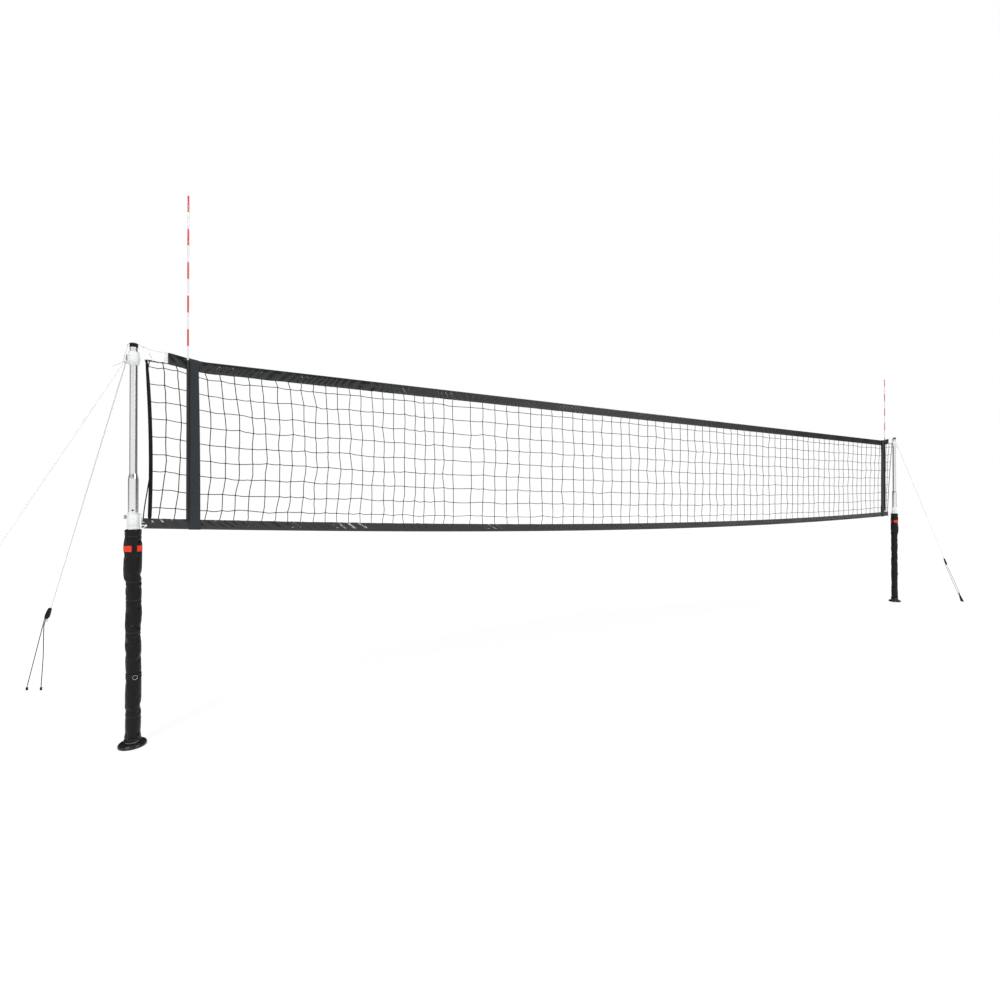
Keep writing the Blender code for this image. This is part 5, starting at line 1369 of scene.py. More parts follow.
@dataclass
class NetMesh:
    """The net's own cords and knots, and the webbing and cords of its side edges."""

    radius: float = 0.0025
    knot: float = 1.7
    rows: int = 9
    first_row: tuple[float, float] = (0.052, 0.032)
    row_step: tuple[float, float] = (0.1098, 0.1118)
    close_start: float = 0.354
    close_pitch: float = 0.078
    close_count: int = 22
    wide_start: float = 2.136
    wide_pitch: float = 0.1105
    wide_count: int = 57
    bow: float = 0.031
    outer_left: tuple[tuple[float, float], ...] = ((0.1376, 0.1192), (0.2071, 0.1971))
    sway: tuple[float, float] = (0.015, 0.03)
    lift: float = 0.011
    wander: float = 0.0055

    def stations(self) -> list[float]:
        """Each upright cord's distance from the left post at its ends, between the side bands."""
        close = [self.close_start + self.close_pitch * step for step in range(self.close_count)]
        return close + [self.wide_start + self.wide_pitch * step for step in range(self.wide_count)]

    def column_x(self, column: int, share: float) -> float:
        """X of an upright cord, share of the way down.

        Args:
            column: 0 and 1 are outside the left side band, and the last two outside the right one.
            share: 0 at the upper band and 1 at the lower.

        Returns:
            The X.
        """
        inner = self.stations()
        last = len(inner) + 3
        arch = 4.0 * share * (1.0 - share)
        if column < 2:
            top, foot = self.outer_left[column]
            return LAYOUT.x(Side.LEFT, top + (foot - top) * share + self.bow * arch)
        if column > last - 2:
            edge = LAYOUT.edge_distance(Side.RIGHT, share) + 0.01
            step = (last - column + 1) / 3
            return LAYOUT.x(Side.RIGHT, edge + (LAYOUT.side_bands[1] - edge) * step)
        distance = inner[column - 2]
        bow = self.bow * math.exp(-max(0.0, distance - 0.8) / 0.6)
        far = math.exp(-(2 * LAYOUT.half_span - distance - 0.36) / 0.6)
        return LAYOUT.x(Side.LEFT, distance + bow * arch - far * (0.022 * arch + (share - 0.5) * 0.05))

    def crossing(self, column: int, row: int) -> Vector:
        """Where an upright cord and a level one are knotted, with the net's own unevenness."""
        outer = 1.0 if column < 2 else 0.0
        if row in (0, self.rows + 1):
            x = self.column_x(column, 0.0 if row == 0 else 1.0)
            return Vector((x, 0.0, LAYOUT.mesh_top(x) if row == 0 else LAYOUT.mesh_bottom(x)))
        share = self.first_row[0] + self.row_step[0] * (row - 1)
        change = self.first_row[1] - self.first_row[0] + (self.row_step[1] - self.row_step[0]) * (row - 1)
        share += outer * change
        x = self.column_x(column, share)
        height = LAYOUT.mesh_top(x) + (LAYOUT.mesh_bottom(x) - LAYOUT.mesh_top(x)) * share
        spot = Vector((column * 0.83, row * 0.71, 0.0))
        sway = self.sway[0] + (self.sway[1] - self.sway[0]) * (x / LAYOUT.half_span + 1.0) / 2
        aside = noise_at(spot, 1.0, 11.0) * 0.75 + noise_at(Vector((column * 0.35, row * 0.9, 0.0)), 1.0, 2.0) * 0.6
        lift = noise_at(spot, 1.1, 31.0) * self.lift
        return Vector((x + aside * sway * (0.5 if outer else 1.0), noise_at(spot, 1.0, 51.0) * 0.002, height + lift))

    def cord(self, knots: Sequence[Vector], seed: float, sag: float) -> Shape:
        """One cord through its knots, thicker at each.

        Args:
            knots: The knots' places.
            seed: Sets this cord's own unevenness.
            sag: How far it hangs between two knots.

        Returns:
            The closed cord.
        """
        points, sizes = [knots[0]], [self.radius]
        for index, (one, other) in enumerate(zip(knots, knots[1:])):
            gap = (other - one).length
            side = Vector((-(other - one).z, 0.0, (other - one).x)).normalized()
            drift = noise_at(Vector((seed, index * 1.7, 0.0)), 1.3, 3.0) * self.wander
            end = min(0.1, 0.0042 / gap)
            for share in (end, 0.36, 0.64, 1.0 - end, 1.0):
                bend = math.sin(math.pi * share)
                uneven = 1.0 + 0.6 * math.sin(math.tau * share + seed)
                spot = one.lerp(other, share) + side * drift * bend * uneven
                spot.z -= sag * bend
                points.append(spot)
                last = index == len(knots) - 2
                sizes.append(self.radius * (self.knot if share == 1.0 and not last else 1.0))
        return sweep(points, sizes, 6)

    def build(self) -> None:
        """Builds the mesh, both side edges and the cords at the net's corners."""
        columns = len(self.stations()) + 4
        grid = [[self.crossing(column, row) for row in range(self.rows + 2)] for column in range(columns)]
        cords = [self.cord(grid[column], column * 0.61, 0.0) for column in range(columns)]
        for row in range(self.rows + 2):
            ends = []
            for side, column in ((Side.LEFT, 0), (Side.RIGHT, columns - 1)):
                knot = grid[column][row]
                top, low = LAYOUT.mesh_top(knot.x), LAYOUT.mesh_bottom(knot.x)
                reach = LAYOUT.edge_distance(side, clamp((top - knot.z) / (top - low))) + 0.006
                ends.append(LAYOUT.at(side, reach, 0.0, knot.z))
            route = [ends[0]] + [grid[column][row] for column in range(columns)] + [ends[1]]
            cords.append(self.cord(route, row * 7.3 + 40.0, 0.0 if row in (0, self.rows + 1) else 0.0022))
        SHOP.piece("net_cords", gathered(cords), FINISHES.twine, "left_mast", "net_mesh", ["net_mesh"], 70.0)
        for side in Side:
            self.edge(side)
            self.corner(side)

    def edge(self, side: Side) -> None:
        """The webbing down one side edge, which bows between its corners."""
        points = []
        for step in range(49):
            share = step / 48
            x = LAYOUT.x(side, LAYOUT.edge_distance(side, share))
            top, low = LAYOUT.mesh_top(x) + 0.003, LAYOUT.mesh_bottom(x) - 0.003
            points.append(Vector((x, 0.0, top + (low - top) * share)))
        most = side.of((0.0092, 0.0058))
        sizes = [0.004] + [most - 0.48 * most * math.exp(-step / 5.0) for step in range(1, 48)] + [0.6 * most]
        shape = sweep(points, sizes, 16, 0.19, Vector((1.0, 0.0, 0.0)))
        bound = [spot + Vector((side.value * size * 0.9, 0.0, 0.0)) for spot, size in zip(points, sizes)]
        webbing = gathered([shape, sweep(bound, 0.0021, 8)])
        SHOP.own("edge_webbing", side.label, webbing, FINISHES.edge, "left_mast", "side_edge", 60.0)

    def corner(self, side: Side) -> None:
        """The small cords at the net's corners: loop, border, lashing and the cord to the lower corner."""
        top = LAYOUT.mesh_top(LAYOUT.x(side, 0.06))
        border = near(0.0, top, (52, 4), (74.5, 5), (105, 0), (137.6, -3))
        cords = [(-0.0005, border + [(LAYOUT.band_end + 0.01, top - 0.004)], [4, 4, 4, 3], 0.0026)]
        for start in (0.053, 0.0745):
            loop = [(start, top + 0.004), ((start + 0.069) / 2, top - 0.02), (0.068, top - 0.046)]
            cords.append((-0.0035, loop, [4, 4], 0.0026))
        if side is Side.LEFT:
            drop = [(0.0835, 1.6), (0.0811, 1.564), (0.07, 1.48), (0.0591, 1.402), (0.051, 1.335), (0.048, 1.296)]
            cords.append((-0.0042, drop, [3] * 5, 0.0029))
        parts = [
            sweep(smooth_route([LAYOUT.at(side, reach, y, z) for reach, z in spots], counts), radius, 8)
            for y, spots, counts, radius in cords
        ]
        name = f"corner_cords_{side.label}"
        SHOP.piece(name, gathered(parts), FINISHES.black_cord, "left_mast", "net_mesh")


@dataclass
class Cordage:
    """The head rope, the foot rope and what ties them at the corners."""

    head: list[Vector] = field(default_factory=list)
    foot: list[Vector] = field(default_factory=list)

    def head_points(self) -> list[Vector]:
        """Cleat, over one cap, through the upper band, over the other cap and cleat."""
        over, edge = LAYOUT.cap_top - LAYOUT.rope_radius, LAYOUT.cap_radius
        face, clear = LAYOUT.ring_radius + 0.0058, LAYOUT.rope_radius + 1.5 * LAYOUT.cord_gap
        top, low = LAYOUT.cleat_top, LAYOUT.cleat_bottom
        end = near(face, low, (59, -24), (38, -9), (21, -4)) + near(face + clear, low, (10, 8))
        end += near(face + clear, (top + low) / 2, (5, 4)) + near(face + clear, top, (0.6, 1))
        end += near(edge, LAYOUT.cap_bottom, (13.5, -14)) + near(edge, LAYOUT.cap_top, (10, -15), (7, -6.5))
        end += [(edge + 0.001, over), (-edge - 0.001, over)]
        line = [(-distance, height) for distance, height in end]
        line.append((0.045, (over + LAYOUT.net_top + LAYOUT.band_rise) / 2 + 0.003))
        inside = [LAYOUT.band_end * 0.6, LAYOUT.band_end - 0.006]
        inside += [LAYOUT.band_end + LAYOUT.band_rise_length * step / 4 for step in range(5)]
        for distance in inside:
            lift = max(0.0, LAYOUT.band_end - distance) * 0.08
            line.append((distance, LAYOUT.band_top(LAYOUT.x(Side.LEFT, distance)) - LAYOUT.band_half + lift))
        counts = [2, 1, 2, 2, 1, 1, 1, 2, 2, 1, 1] + [1] * len(inside)
        left, right = ([LAYOUT.at(side, reach, 0.0, z) for reach, z in line] for side in Side)
        return smooth_route(left + right[::-1], counts + [10] + counts[::-1])

    def foot_turn(self, side: Side, turns: int) -> list[Vector]:
        """The foot rope's turn round one mast, and its way down to the lower band's end."""
        around = LAYOUT.mast_radius + 0.0009 + LAYOUT.rope_radius
        height = LAYOUT.collar_top + 0.0005 + LAYOUT.rope_radius
        turn = []
        for point in range(turns + 1):
            angle = math.radians(side.of((0.0, 180.0)) + 40.0 + 305.0 * point / turns)
            turn.append(LAYOUT.at(side, 0.0) + polar(angle, around, height + 0.0075 * (1.0 - point / turns)))
        turn.append(LAYOUT.at(side, around + 0.0062, -0.0015, LAYOUT.collar_top + 0.0025))
        end, clear = side.of(LAYOUT.bottom_ends), LAYOUT.collar_radius + 0.0075
        drop = self.foot_height(LAYOUT.x(side, end))
        left = near(end, drop, (-5.5, 12), (-4, 4), (-0.3, 0.3))
        right = [((clear + end) / 2, drop + 0.022)] + near(end, drop, (-30, 3.5), (-8, 0.2))
        inside = (end + 0.012, self.foot_height(LAYOUT.x(side, end + 0.012)))
        steps = [(clear, LAYOUT.collar_top - 0.012), *side.of((left, right)), inside]
        return turn + [LAYOUT.at(side, reach, 0.0, z) for reach, z in steps]

    def foot_height(self, x: float) -> float:
        """Height of the foot rope in the lower band."""
        return LAYOUT.band_bottom(x) + LAYOUT.band_half

    def foot_points(self) -> list[Vector]:
        """A turn round each mast above its collar, and through the lower band."""
        turns, inside = 13, 19
        left, right = (self.foot_turn(side, turns) for side in Side)
        start, stop = (LAYOUT.x(side, side.of(LAYOUT.bottom_ends)) for side in Side)
        spots = [start + (stop - start) * step / (inside + 1) for step in range(1, inside + 1)]
        middle = [Vector((x, 0.0, self.foot_height(x))) for x in spots]
        return smooth_route(left + middle + right[::-1], [1] * (2 * turns + inside + 13))

    def build(self) -> None:
        """Builds both ropes, the corner ties and the corner hooks."""
        self.head, self.foot = self.head_points(), self.foot_points()
        ropes = (("head", "head_rope", self.head, "bare"), ("foot", "foot_rope", self.foot, "object"))
        for label, node, points, far_end in ropes:
            shape = sweep(points, LAYOUT.rope_radius, 14)
            rope = SHOP.piece(f"{label}_rope_line", shape, FINISHES.rope, "left_mast", node, [node], 70.0)
            declare_cord(points[0], points, LAYOUT.rope_radius, far_end)
        for side in Side:
            self.tie(side)
            self.hook(side)

    def above(self, x: float) -> Vector:
        """The head rope's point over the net that is nearest to an X."""
        return min(self.head, key=lambda point: abs(point.x - x) + (0.0 if point.z > LAYOUT.net_top else 9.0))

    def tie(self, side: Side) -> None:
        """The thin white tie from the head rope to the net's upper corner, and the lashing at the band's end."""
        name, rope = side.label, self.above(LAYOUT.x(side, 0.045))
        around = LAYOUT.rope_radius + LAYOUT.cord_gap + 0.00125
        points = []
        for step in range(17):
            angle = math.radians(150.0 - 300.0 * step / 16)
            drift = side.value * 0.0035 * (step / 16 - 0.5)
            points.append(Vector((rope.x + drift, around * math.sin(angle), rope.z + around * math.cos(angle))))
        foot_x = LAYOUT.x(side, LAYOUT.edge_distance(side, 0.0) - 0.0048)
        top, front = LAYOUT.mesh_top(foot_x) + 0.003, -0.0031
        tail = [points[-1], ((points[-1].x + foot_x) / 2, front, (rope.z + top) / 2), (foot_x, front, top + 0.004)]
        points += smooth_route(tail + [(foot_x, front - 0.001, top - 0.02)], [4, 4, 4])[1:]
        parts = [sweep(points, 0.00125, 10)]
        for spot in (top + 0.003, top - 0.0165):
            parts.append(ring(Vector((foot_x, front, spot)), Vector((0.15, 0.1, 1.0)), 0.0016, 0.0011, 20, 8))
        lean = side.value * -0.003
        for distance in (0.149, 0.1555, 0.162):
            x = LAYOUT.x(side, distance)
            high, low = self.above(x).z + 0.0045, LAYOUT.mesh_top(x) - 0.0065
            middle = (high + low) / 2
            loop = [(0.0, -0.0048, middle), (lean, -0.004, high - 0.003), (lean, 0.0, high)]
            loop += [(lean, 0.004, high - 0.003), (0.0, 0.0048, middle), (-lean, 0.0036, low + 0.003)]
            loop += [(-lean, 0.0, low), (-lean, -0.0036, low + 0.003), (-0.3 * lean, -0.005, middle - 0.002)]
            parts.append(sweep(smooth_route([(x + aside, y, z) for aside, y, z in loop], [4] * 8), 0.00125, 8))
        spots = near(0.077, 2.25, (0, 0), (-3.5, 3), (-4.5, -2), (-1, -6), (3.5, -13), (8, -20))
        spots += near(0.077, 2.25, (11.5, -24), (10.5, -29), (7, -26))
        route = smooth_route([LAYOUT.at(side, reach, -0.0042, z) for reach, z in spots], [4] * 8)
        snap = sweep(route, 0.0013, 10)
        SHOP.piece(f"corner_snap_{name}", snap, FINISHES.wire, "left_mast", "corner_tie", (), 60.0)
        for (low_d, low_z), (high_d, high_z) in (((0.0735, 2.251), (0.069, 2.279)), ((0.087, 2.2225), (0.09, 2.205))):
            loop = [(low_d, -0.0042, low_z), (low_d, -0.0062, low_z), (high_d, -0.0044, high_z - 0.004)]
            loop += [(high_d, 0.0, high_z), (high_d, 0.0044, high_z - 0.004), (low_d, -0.0022, low_z)]
            route = smooth_route([LAYOUT.at(side, *spot) for spot in loop], [2, 4, 4, 4, 4])
            parts.append(sweep(route, 0.001, 8))
        SHOP.own("upper_tie", name, gathered(parts), FINISHES.thin_rope, "left_mast", "corner_tie", 70.0)

    def hook(self, side: Side) -> None:
        """The white moulded hook on the lower band's corner, with its eye."""
        end, back = side.of(LAYOUT.bottom_ends), -(LAYOUT.band_half + 0.0082)
        low = LAYOUT.band_bottom(LAYOUT.x(side, end))
        loop = near(end, low, (17, 17.5), (4, 19), (-8.5, 18), (-10.5, 12.5), (-8.5, 7))
        loop += near(end, low, (-1, -1), (6, 4), (13, 12), (16.5, 16.5))
        route = smooth_route([LAYOUT.at(side, reach, back, z) for reach, z in loop], [4] * 8)
        link = sweep(route, 0.0026, 12)
        flange = near(0.0, 0.0, (0, 4.2), (1.2, 6), (2.6, 6.6), (4, 6), (6, 4.2), (7.2, 4.2), (7.8, 3))
        points = [LAYOUT.at(side, end + 0.0175, back - 0.0032 + depth, low + 0.0172) for depth, _ in flange]
        boss = sweep(points, [size for _, size in flange], 28)
        rim = ring(points[0] + Vector((0.0, 0.0004, 0.0)), Vector((0.0, -1.0, 0.0)), 0.004, 0.0009, 28, 8)
        shape = gathered([link, boss, rim])
        SHOP.own("lower_hook", side.label, shape, FINISHES.white_plastic, "left_mast", "corner_hook", 50.0)


# Guys


@dataclass
class Guy:
    """One guy: its rope, its tensioner, its two legs and what holds them to the ground."""

    side: Side
    row: Row
    rope: float = 0.003
    leg: float = 0.0025
    length: float = 0.1
    thickness: float = 0.014
    bore: float = 0.007
    eye_inset: float = 0.014
    tail: float = 0.03
    parting: float = 0.07
    starts: tuple[float, float] = (1.9, 1.712)
    peg_radius: float = 0.008
    peg_height: float = 0.02
    anchor_height: float = 0.12

    def __post_init__(self) -> None:
        """Works out the guy's ends and its directions: down it, level, and square to both."""
        self.name = f"{self.side.label}_{self.row.label}"
        self.start = self.side.of(self.starts)
        self.lug, self.main, self.second = self.plan()
        self.along = (self.main - self.lug).normalized()
        self.level = self.along.cross(UP).normalized()
        self.square = self.along.cross(self.level).normalized()

    def plan(self) -> tuple[Vector, Vector, Vector]:
        """The lug, the main anchor and the second anchor."""
        away = float(self.row.value)
        lug = LAYOUT.at(self.side, -0.041, away * 0.022, LAYOUT.lug_height)
        if self.side is Side.LEFT:
            main = LAYOUT.at(self.side, -0.805, away * 1.433, self.peg_height)
            return lug, main, LAYOUT.at(self.side, -0.714, away * 1.383, self.peg_height)
        out, shift = (0.83, -0.46) if self.row is Row.FRONT else (1.1, 0.4725)
        foot = LAYOUT.at(self.side, -out, shift)
        toward = (lug - foot).normalized()
        head = foot + toward * ((self.anchor_height - 0.007) / toward.z)
        return lug, head, head

    def down(self, distance: float, level: float = 0.0, square: float = 0.0) -> Vector:
        """A place down the guy from its lug, moved level and square to it."""
        return self.lug + self.along * distance + self.level * level + self.square * square

    def by_eye(self, square: float, distance: float = 0.0, level: float = 0.0) -> Vector:
        """A place near the tensioner's eye."""
        return self.down(self.start + self.length - self.eye_inset + distance, level - 2 * self.bore, square)

    def build(self) -> None:
        """Builds and dresses the whole guy."""
        self.line()
        self.slider()
        if self.side is Side.LEFT:
            self.pegs()
        else:
            self.anchor()
        self.legs()

    def line(self) -> None:
        """The taut rope from its knot behind the lug to the knot under the tensioner."""
        end = self.start + self.length
        tail = end + self.tail
        distances = [-0.0165, -0.015, -0.0125, -0.0085, -0.0065, 0.01, 0.03]
        distances += [self.start * step / 8 for step in range(1, 9)]
        distances += [end, tail - 0.009, tail - 0.007, tail - 0.003, tail]
        rope, bulge = self.rope, self.rope * 1.25
        sizes = [rope * 0.9, rope, bulge, bulge, rope] + [rope] * 11 + [bulge, bulge, rope, rope * 0.75]
        points = [self.down(distance) for distance in distances]
        parts = [sweep(points, sizes, 14), self.wraps(-0.0105, 0.0052), self.wraps(tail - 0.0055, 0.005)]
        line = SHOP.own("guy", self.name, gathered(parts), FINISHES.rope, None, "guy_rope", 70.0)
        start, end = tuple(self.lug), tuple(self.down(self.start))
        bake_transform(line)
        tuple(start)
        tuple(end)
        declare_cord(self.lug, points, self.rope, "knot")

    def wraps(self, distance: float, spread: float) -> Shape:
        """The turns of a knot, wound round the rope with a crossing turn over them."""
        turn, points = self.along.to_track_quat("Z", "X").to_matrix(), []
        for step in range(43):
            angle = math.tau * 2.5 * step / 42
            points.append(self.down(distance) + turn @ polar(angle, 0.0037, spread * (step / 42 - 0.5)))
        return sweep(points, [0.0008] + [0.0017] * 41 + [0.0008], 8)

    def slider(self) -> None:
        """The black teardrop tensioner, with a bore for the rope, an eye for the legs and grip ribs."""
        body = [(0.0, 0.0082, 0.4), (0.0014, 0.01, 0.36), (0.006, 0.0114, 0.3), (0.018, 0.0128, 0.2)]
        body += [(0.036, 0.0142, 0.08), (0.055, 0.0156, 0.0), (0.068, 0.0162, 0.0), (0.08, 0.0156, 0.0)]
        body += [(0.09, 0.0136, 0.0), (0.0975, 0.0104, 0.0), (0.1, 0.008, 0.0)]
        points = [self.down(self.start + distance, self.bore * (lean - 1.0)) for distance, _, lean in body]
        shape = sweep(points, [size for _, size, _ in body], 40, 0.45, self.level)
        begin, end = self.down(self.start - 0.01), self.down(self.start + self.length + 0.01)
        shape = drilled(shape, begin, end, self.rope + 0.0005)
        parts = [drilled(shape, self.by_eye(-0.02), self.by_eye(0.02), self.leg + 0.0005)]
        for step in range(5):
            for face in (-0.0062, 0.0062):
                away, level = self.start + 0.03 + 0.0075 * step, -self.bore - 0.004
                rib = [self.down(away, level + reach, face) for reach in (-0.0062, -0.00496, 0.00496, 0.0062)]
                parts.append(sweep(rib, [0.0004, 0.0011, 0.0011, 0.0004], 8))
        body_name, shape = f"{self.name}_tensioner", gathered(parts)
        SHOP.own("slider", self.name, shape, FINISHES.black_plastic, body_name, "tensioner", 45.0)

    def pegs(self) -> None:
        """The heads of the two pegs, with the cord's hole in each."""
        radius, top = self.peg_radius, self.peg_height
        outline = near(0.0, top, (0, -10.3), (3, -10.3), (3, -0.6), (3.6, 0))
        outline += [(radius * 0.72, top - 0.0002), (radius * 0.93, top - 0.0018), (radius, top - 0.0045)]
        outline += [(radius, top - 0.007), (radius * 0.86, top - 0.0088), (radius * 0.8, 0.0048)]
        outline += [(radius * 0.98, 0.003), (radius, 0.0016), (radius * 0.92, 0.0), (0.0, 0.0)]
        for label, node, spot in (("first", "peg", self.main), ("second", "second_peg", self.second)):
            shape = turned(outline, (spot.x, spot.y, 0.0), 36)
            SHOP.own(f"{label}_ground_peg", self.name, shape, FINISHES.black_plastic, "posts", node, 45.0)

    def anchor(self) -> None:
        """The tapered ground anchor, in line with its guy, with two grooves and a drilled head."""
        foot = self.main + self.along * (self.main.z / -self.along.z)
        top = foot - self.along * (self.anchor_height / -self.along.z)
        flat, reach = Vector((self.square.x, self.square.y, 0.0)).normalized(), self.square * 0.04
        sizes = [(0.0, 0.0245, 0.0106), (0.012, 0.025, 0.011), (0.06, 0.0245, 0.0108), (0.1, 0.0236, 0.0104)]
        sizes += [(0.115, 0.0222, 0.0096), (0.13, 0.0222, 0.0096), (0.145, 0.023, 0.0101), (0.25, 0.0218, 0.0098)]
        sizes += [(0.4, 0.0184, 0.0091), (0.55, 0.015, 0.0084), (0.7, 0.0118, 0.0077), (0.8, 0.0098, 0.0072)]
        sizes += [(0.84, 0.009, 0.007), (0.93, 0.0086, 0.0068), (0.975, 0.0074, 0.006), (1.0, 0.005, 0.0044)]
        shape = bmesh.new()
        bmesh.ops.create_circle(shape, cap_ends=True, segments=36, radius=1.0)
        corners, rim = list(shape.verts), list(shape.edges)
        spots = [corner.co.copy() for corner in corners]
        for index, (share, wide, deep) in enumerate(sizes):
            if index:
                corners, rim = extruded(shape, rim)
                spots = [before.inverted() @ corner.co for corner in corners]
            columns = Matrix((self.level * wide, flat * deep, UP)).transposed()
            before = Matrix.Translation(foot + (top - foot) * share) @ columns.to_4x4()
            for corner, spot in zip(corners, spots):
                corner.co = before @ Vector((spot.x, spot.y, 0.0))
        bmesh.ops.contextual_create(shape, geom=rim)
        shape = drilled(outward(shape), self.main - reach, self.main + reach, self.leg + 0.0005)
        SHOP.own("anchor", self.name, shape, FINISHES.black_plastic, "posts", "ground_anchor", 45.0)

    def legs(self) -> None:
        """The leg cord: one length through the tensioner's eye, with both ends down at the ground."""
        out, toward = self.thickness / 2 + self.leg + LAYOUT.cord_gap, 1.0
        main, second = self.main, self.second
        if self.side is Side.LEFT:
            toward = 1.0 if (second - main).dot(self.square) >= 0.0 else -1.0
            lead = (self.by_eye(0.0) - main).normalized()
            one = [main - UP * 0.01, main + UP * 0.003, main + lead * 0.02 + UP * 0.002]
            one.append(self.by_eye(-toward * out, 0.02))
            apart = self.by_eye(toward * out, self.parting)
            slack = (apart + second) / 2 + self.level * 0.004 - UP * 0.006
            two = [self.by_eye(toward * out, 0.02), apart, slack, second + UP * 0.003, second - UP * 0.01]
        else:
            head = [(0.0006, 0.0), (out, 0.0), (out + 0.002, -0.03)]
            one, two = ([main + self.square * way * far + self.along * up for far, up in head] for way in (-1, 1))
            one += [self.by_eye(-out - 0.004, 0.06, -0.006), self.by_eye(-out, 0.016)]
            two = [self.by_eye(out, 0.016), self.by_eye(out + 0.006, 0.06, 0.007)] + two[::-1]
        apex = [self.by_eye(toward * out * share) for share in (-1.0, -0.4, 0.4, 1.0)]
        route = one + apex + two
        counts = [1] + [2] * (len(one) - 2) + [1, 2, 1, 2, 1]
        counts += [4 if index == 1 else 1 for index in range(len(two) - 2)] + [1]
        points = smooth_route(route, counts)
        shape, nodes = sweep(points, self.leg, 12), [f"leg_cord_{self.name}"]
        finish, slot = self.side.of(((FINISHES.black_cord, "leg_cord_left"), (FINISHES.elastic, "leg_cord_right")))
        cord = SHOP.piece(f"leg_{self.name}", shape, finish, None, slot, nodes, 70.0)
        start, end = tuple(main + UP * 0.02), tuple(self.by_eye(0.0, 0.03))
        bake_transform(cord)
        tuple(start)
        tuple(end)
        declare_cord(points[0], points, self.leg, "object")


@dataclass
class Antenna:
    """One striped antenna, upright in its pocket."""

    side: Side
    radius: float = 0.005
    length: float = 1.8
    raised: tuple[float, float] = (0.14, 0.0)

    def build(self) -> None:
        """Builds the rod with its rounded ends."""
        pocket, radius = LAYOUT.pocket(self.side), self.radius
        bottom = pocket.z + 0.0003 + self.side.of(self.raised)
        top = bottom + self.length
        outline = [(0.0, top), (radius * 0.45, top - 0.0002), (radius * 0.8, top - 0.001), (radius, top - 0.0028)]
        outline += [(radius, bottom + (top - bottom) * step / 8) for step in range(7, 0, -1)]
        outline += [(radius, bottom + 0.001), (radius * 0.8, bottom), (0.0, bottom)]
        name, shape = self.side.label, turned(outline, (pocket.x, pocket.y, 0.0), 28)
        SHOP.own("striped_rod", name, shape, FINISHES.antenna(top), f"{name}_antenna", "antenna", 50.0)


# Studio


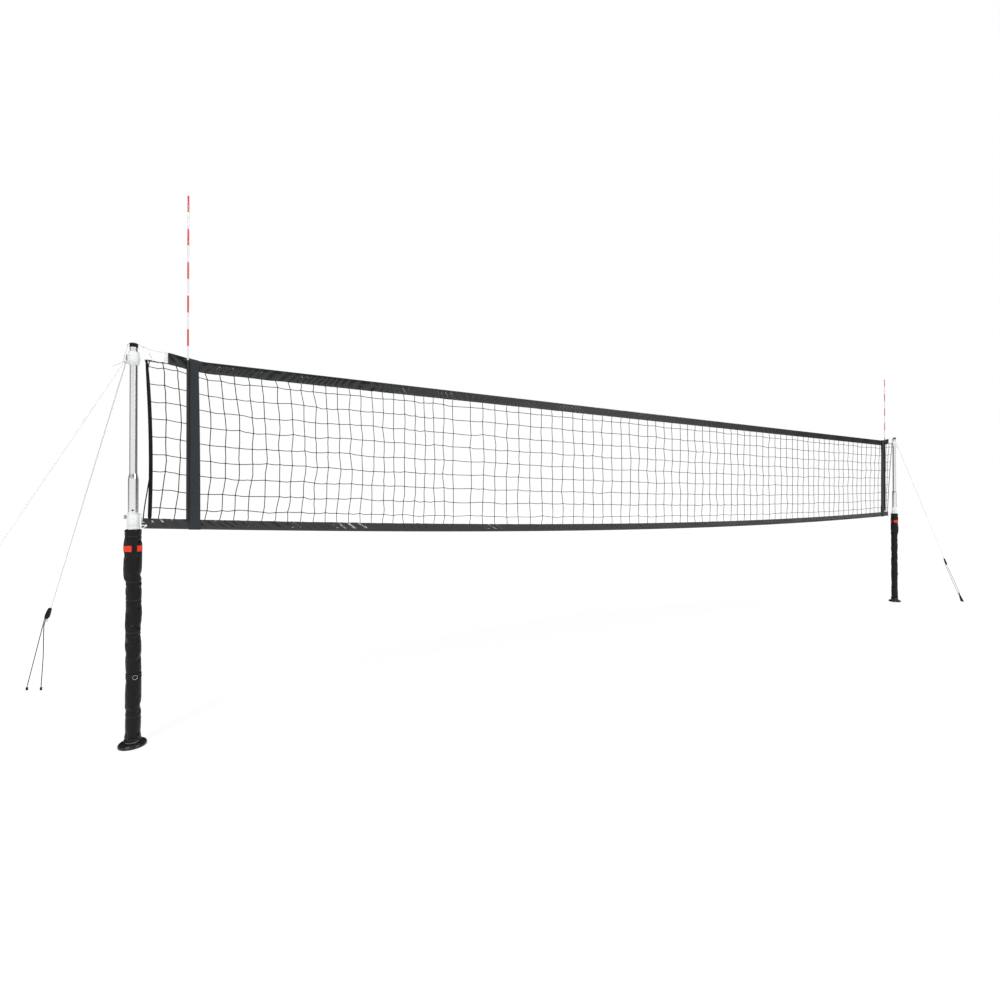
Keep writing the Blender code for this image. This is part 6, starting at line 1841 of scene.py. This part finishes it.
@dataclass
class Studio:
    """The camera, the floor, the lamps and the world."""

    eye: tuple[float, float, float] = (-3.9568, -3.5773, 1.3868)
    yaw: float = 29.085
    pitch: float = 0.29
    lens: float = 18.39
    ambient: float = 0.5
    sun: float = 1.6
    fill: float = 1.0
    softness: float = 14.0
    left_flag: float = 114.0
    right_flag: float = 40.0

    def build(self) -> None:
        """Builds everything that isn't part of the object."""
        self.camera()
        self.floor()
        self.lamps()
        self.world()
        bpy.context.scene.view_settings.view_transform = "Standard"

    def camera(self) -> None:
        """The photograph's viewing angle."""
        data = bpy.data.cameras.new("camera")
        data.lens, data.sensor_width = self.lens, 36.0
        made = placed("camera", data)
        made.location = self.eye
        made.rotation_euler = (math.radians(90.0 + self.pitch), 0.0, math.radians(-self.yaw))
        bpy.context.scene.camera = made

    def floor(self) -> None:
        """A plain white floor that keeps a faint shadow near the object."""
        shape = bmesh.new()
        bmesh.ops.create_grid(shape, x_segments=1, y_segments=1, size=60.0)
        made = placed("floor", mesh_data("floor", shape))
        made.location.z = -0.0005
        material = bpy.data.materials.new("studio_floor")
        material.use_nodes = True
        graph = Graph(material.node_tree)
        material.node_tree.nodes.remove(material.node_tree.nodes["Principled BSDF"])
        x, y, _ = graph.axes(graph.place())
        reach = ((x / 6.4) ** 2.0 + (y / 2.6) ** 2.0).math("SQRT")
        camera, glossy, passing = graph.rays()
        seen = (camera + glossy + passing).math("MINIMUM", 1.0)
        share = seen * (0.8 + reach.ramp(0.55, 1.15) * 0.2)
        body = graph.node("BsdfDiffuse", {"Color": grey(0.74)})
        glow = graph.node("Emission", {"Color": grey(1.0), "Strength": 1.07})
        mixed = graph.node("MixShader", {0: share, 1: body, 2: glow})
        graph.feed(material.node_tree.nodes["Material Output"].inputs["Surface"], mixed)
        made.data.materials.append(material)

    def lamps(self) -> None:
        """One broad soft key from the front left, and a weak fill from the right."""
        for name, strength, turn in (("key", self.sun, (48.0, 0.0, -38.0)), ("fill", self.fill, (62.0, 0.0, 50.0))):
            data = bpy.data.lights.new(name, "SUN")
            data.energy, data.angle = strength, math.radians(self.softness)
            placed(name, data).rotation_euler = tuple(math.radians(part) for part in turn)

    def world(self) -> None:
        """Soft light all round, a white background, and darker flags that only gloss sees."""
        world = bpy.data.worlds.new("studio")
        bpy.context.scene.world = world
        world.use_nodes = True
        graph = Graph(world.node_tree)
        world.node_tree.nodes.remove(world.node_tree.nodes["Background"])
        x, y, z = graph.axes(graph.place())
        flags = []
        for turn in (self.left_flag, self.right_flag):
            toward = x * math.cos(math.radians(turn)) + y * math.sin(math.radians(turn))
            flags.append(toward.ramp(0.26, 0.66))
        left, right = flags
        low = 1.0 - z.ramp(-0.05, 0.35)
        end_on = (x * 0.996 - y * 0.087).ramp(0.76, 0.92)
        dark = (left * 0.88 + right * 0.2 + end_on * 0.95).math("MINIMUM", 1.0)
        camera, glossy, passing = graph.rays()
        soft = {"Color": graph.mix(low, grey(1.0), grey(0.72)), "Strength": self.ambient}
        above = z.ramp(0.22, 0.42) * (1.0 - z.ramp(0.8, 0.95))
        dark = (dark + above).math("MINIMUM", 1.0)
        shine = {"Color": graph.mix(dark, graph.mix(low, grey(1.0), grey(0.8)), grey(0.06)), "Strength": 1.0}
        white = {"Color": grey(1.0), "Strength": 1.0}
        soft, shine, white = (graph.node("Background", inputs) for inputs in (soft, shine, white))
        inner = graph.node("MixShader", {0: glossy, 1: soft, 2: shine})
        seen = (camera + passing).math("MINIMUM", 1.0)
        whole = graph.node("MixShader", {0: seen, 1: inner, 2: white})
        graph.feed(world.node_tree.nodes["World Output"].inputs["Surface"], whole)


def dress_kept_nodes() -> None:
    """Gives the CAD pieces that stay their own finish."""
    for side in Side:
        node = bpy.data.objects[f"lower_tube_{side.label}"]
        for slot in node.material_slots:
            slot.material = FINISHES.inner_tube.material()


def main() -> None:
    """Builds the net system piece by piece, and the studio round it."""
    logging.basicConfig(level=logging.INFO, format="%(name)s: %(message)s")
    Studio().build()
    Cordage().build()
    for side in Side:
        for row in Row:
            Guy(side, row).build()
    fabric = SleeveFabric()
    for side in Side:
        PostHardware(side).build()
        Sleeve(side, fabric).build()
        Antenna(side).build()
    NetBands().build()
    NetMesh().build()
    dress_kept_nodes()
    LOG.info("all new pieces: %d triangles", SHOP.triangles)


if __name__ == "__main__":
    main()
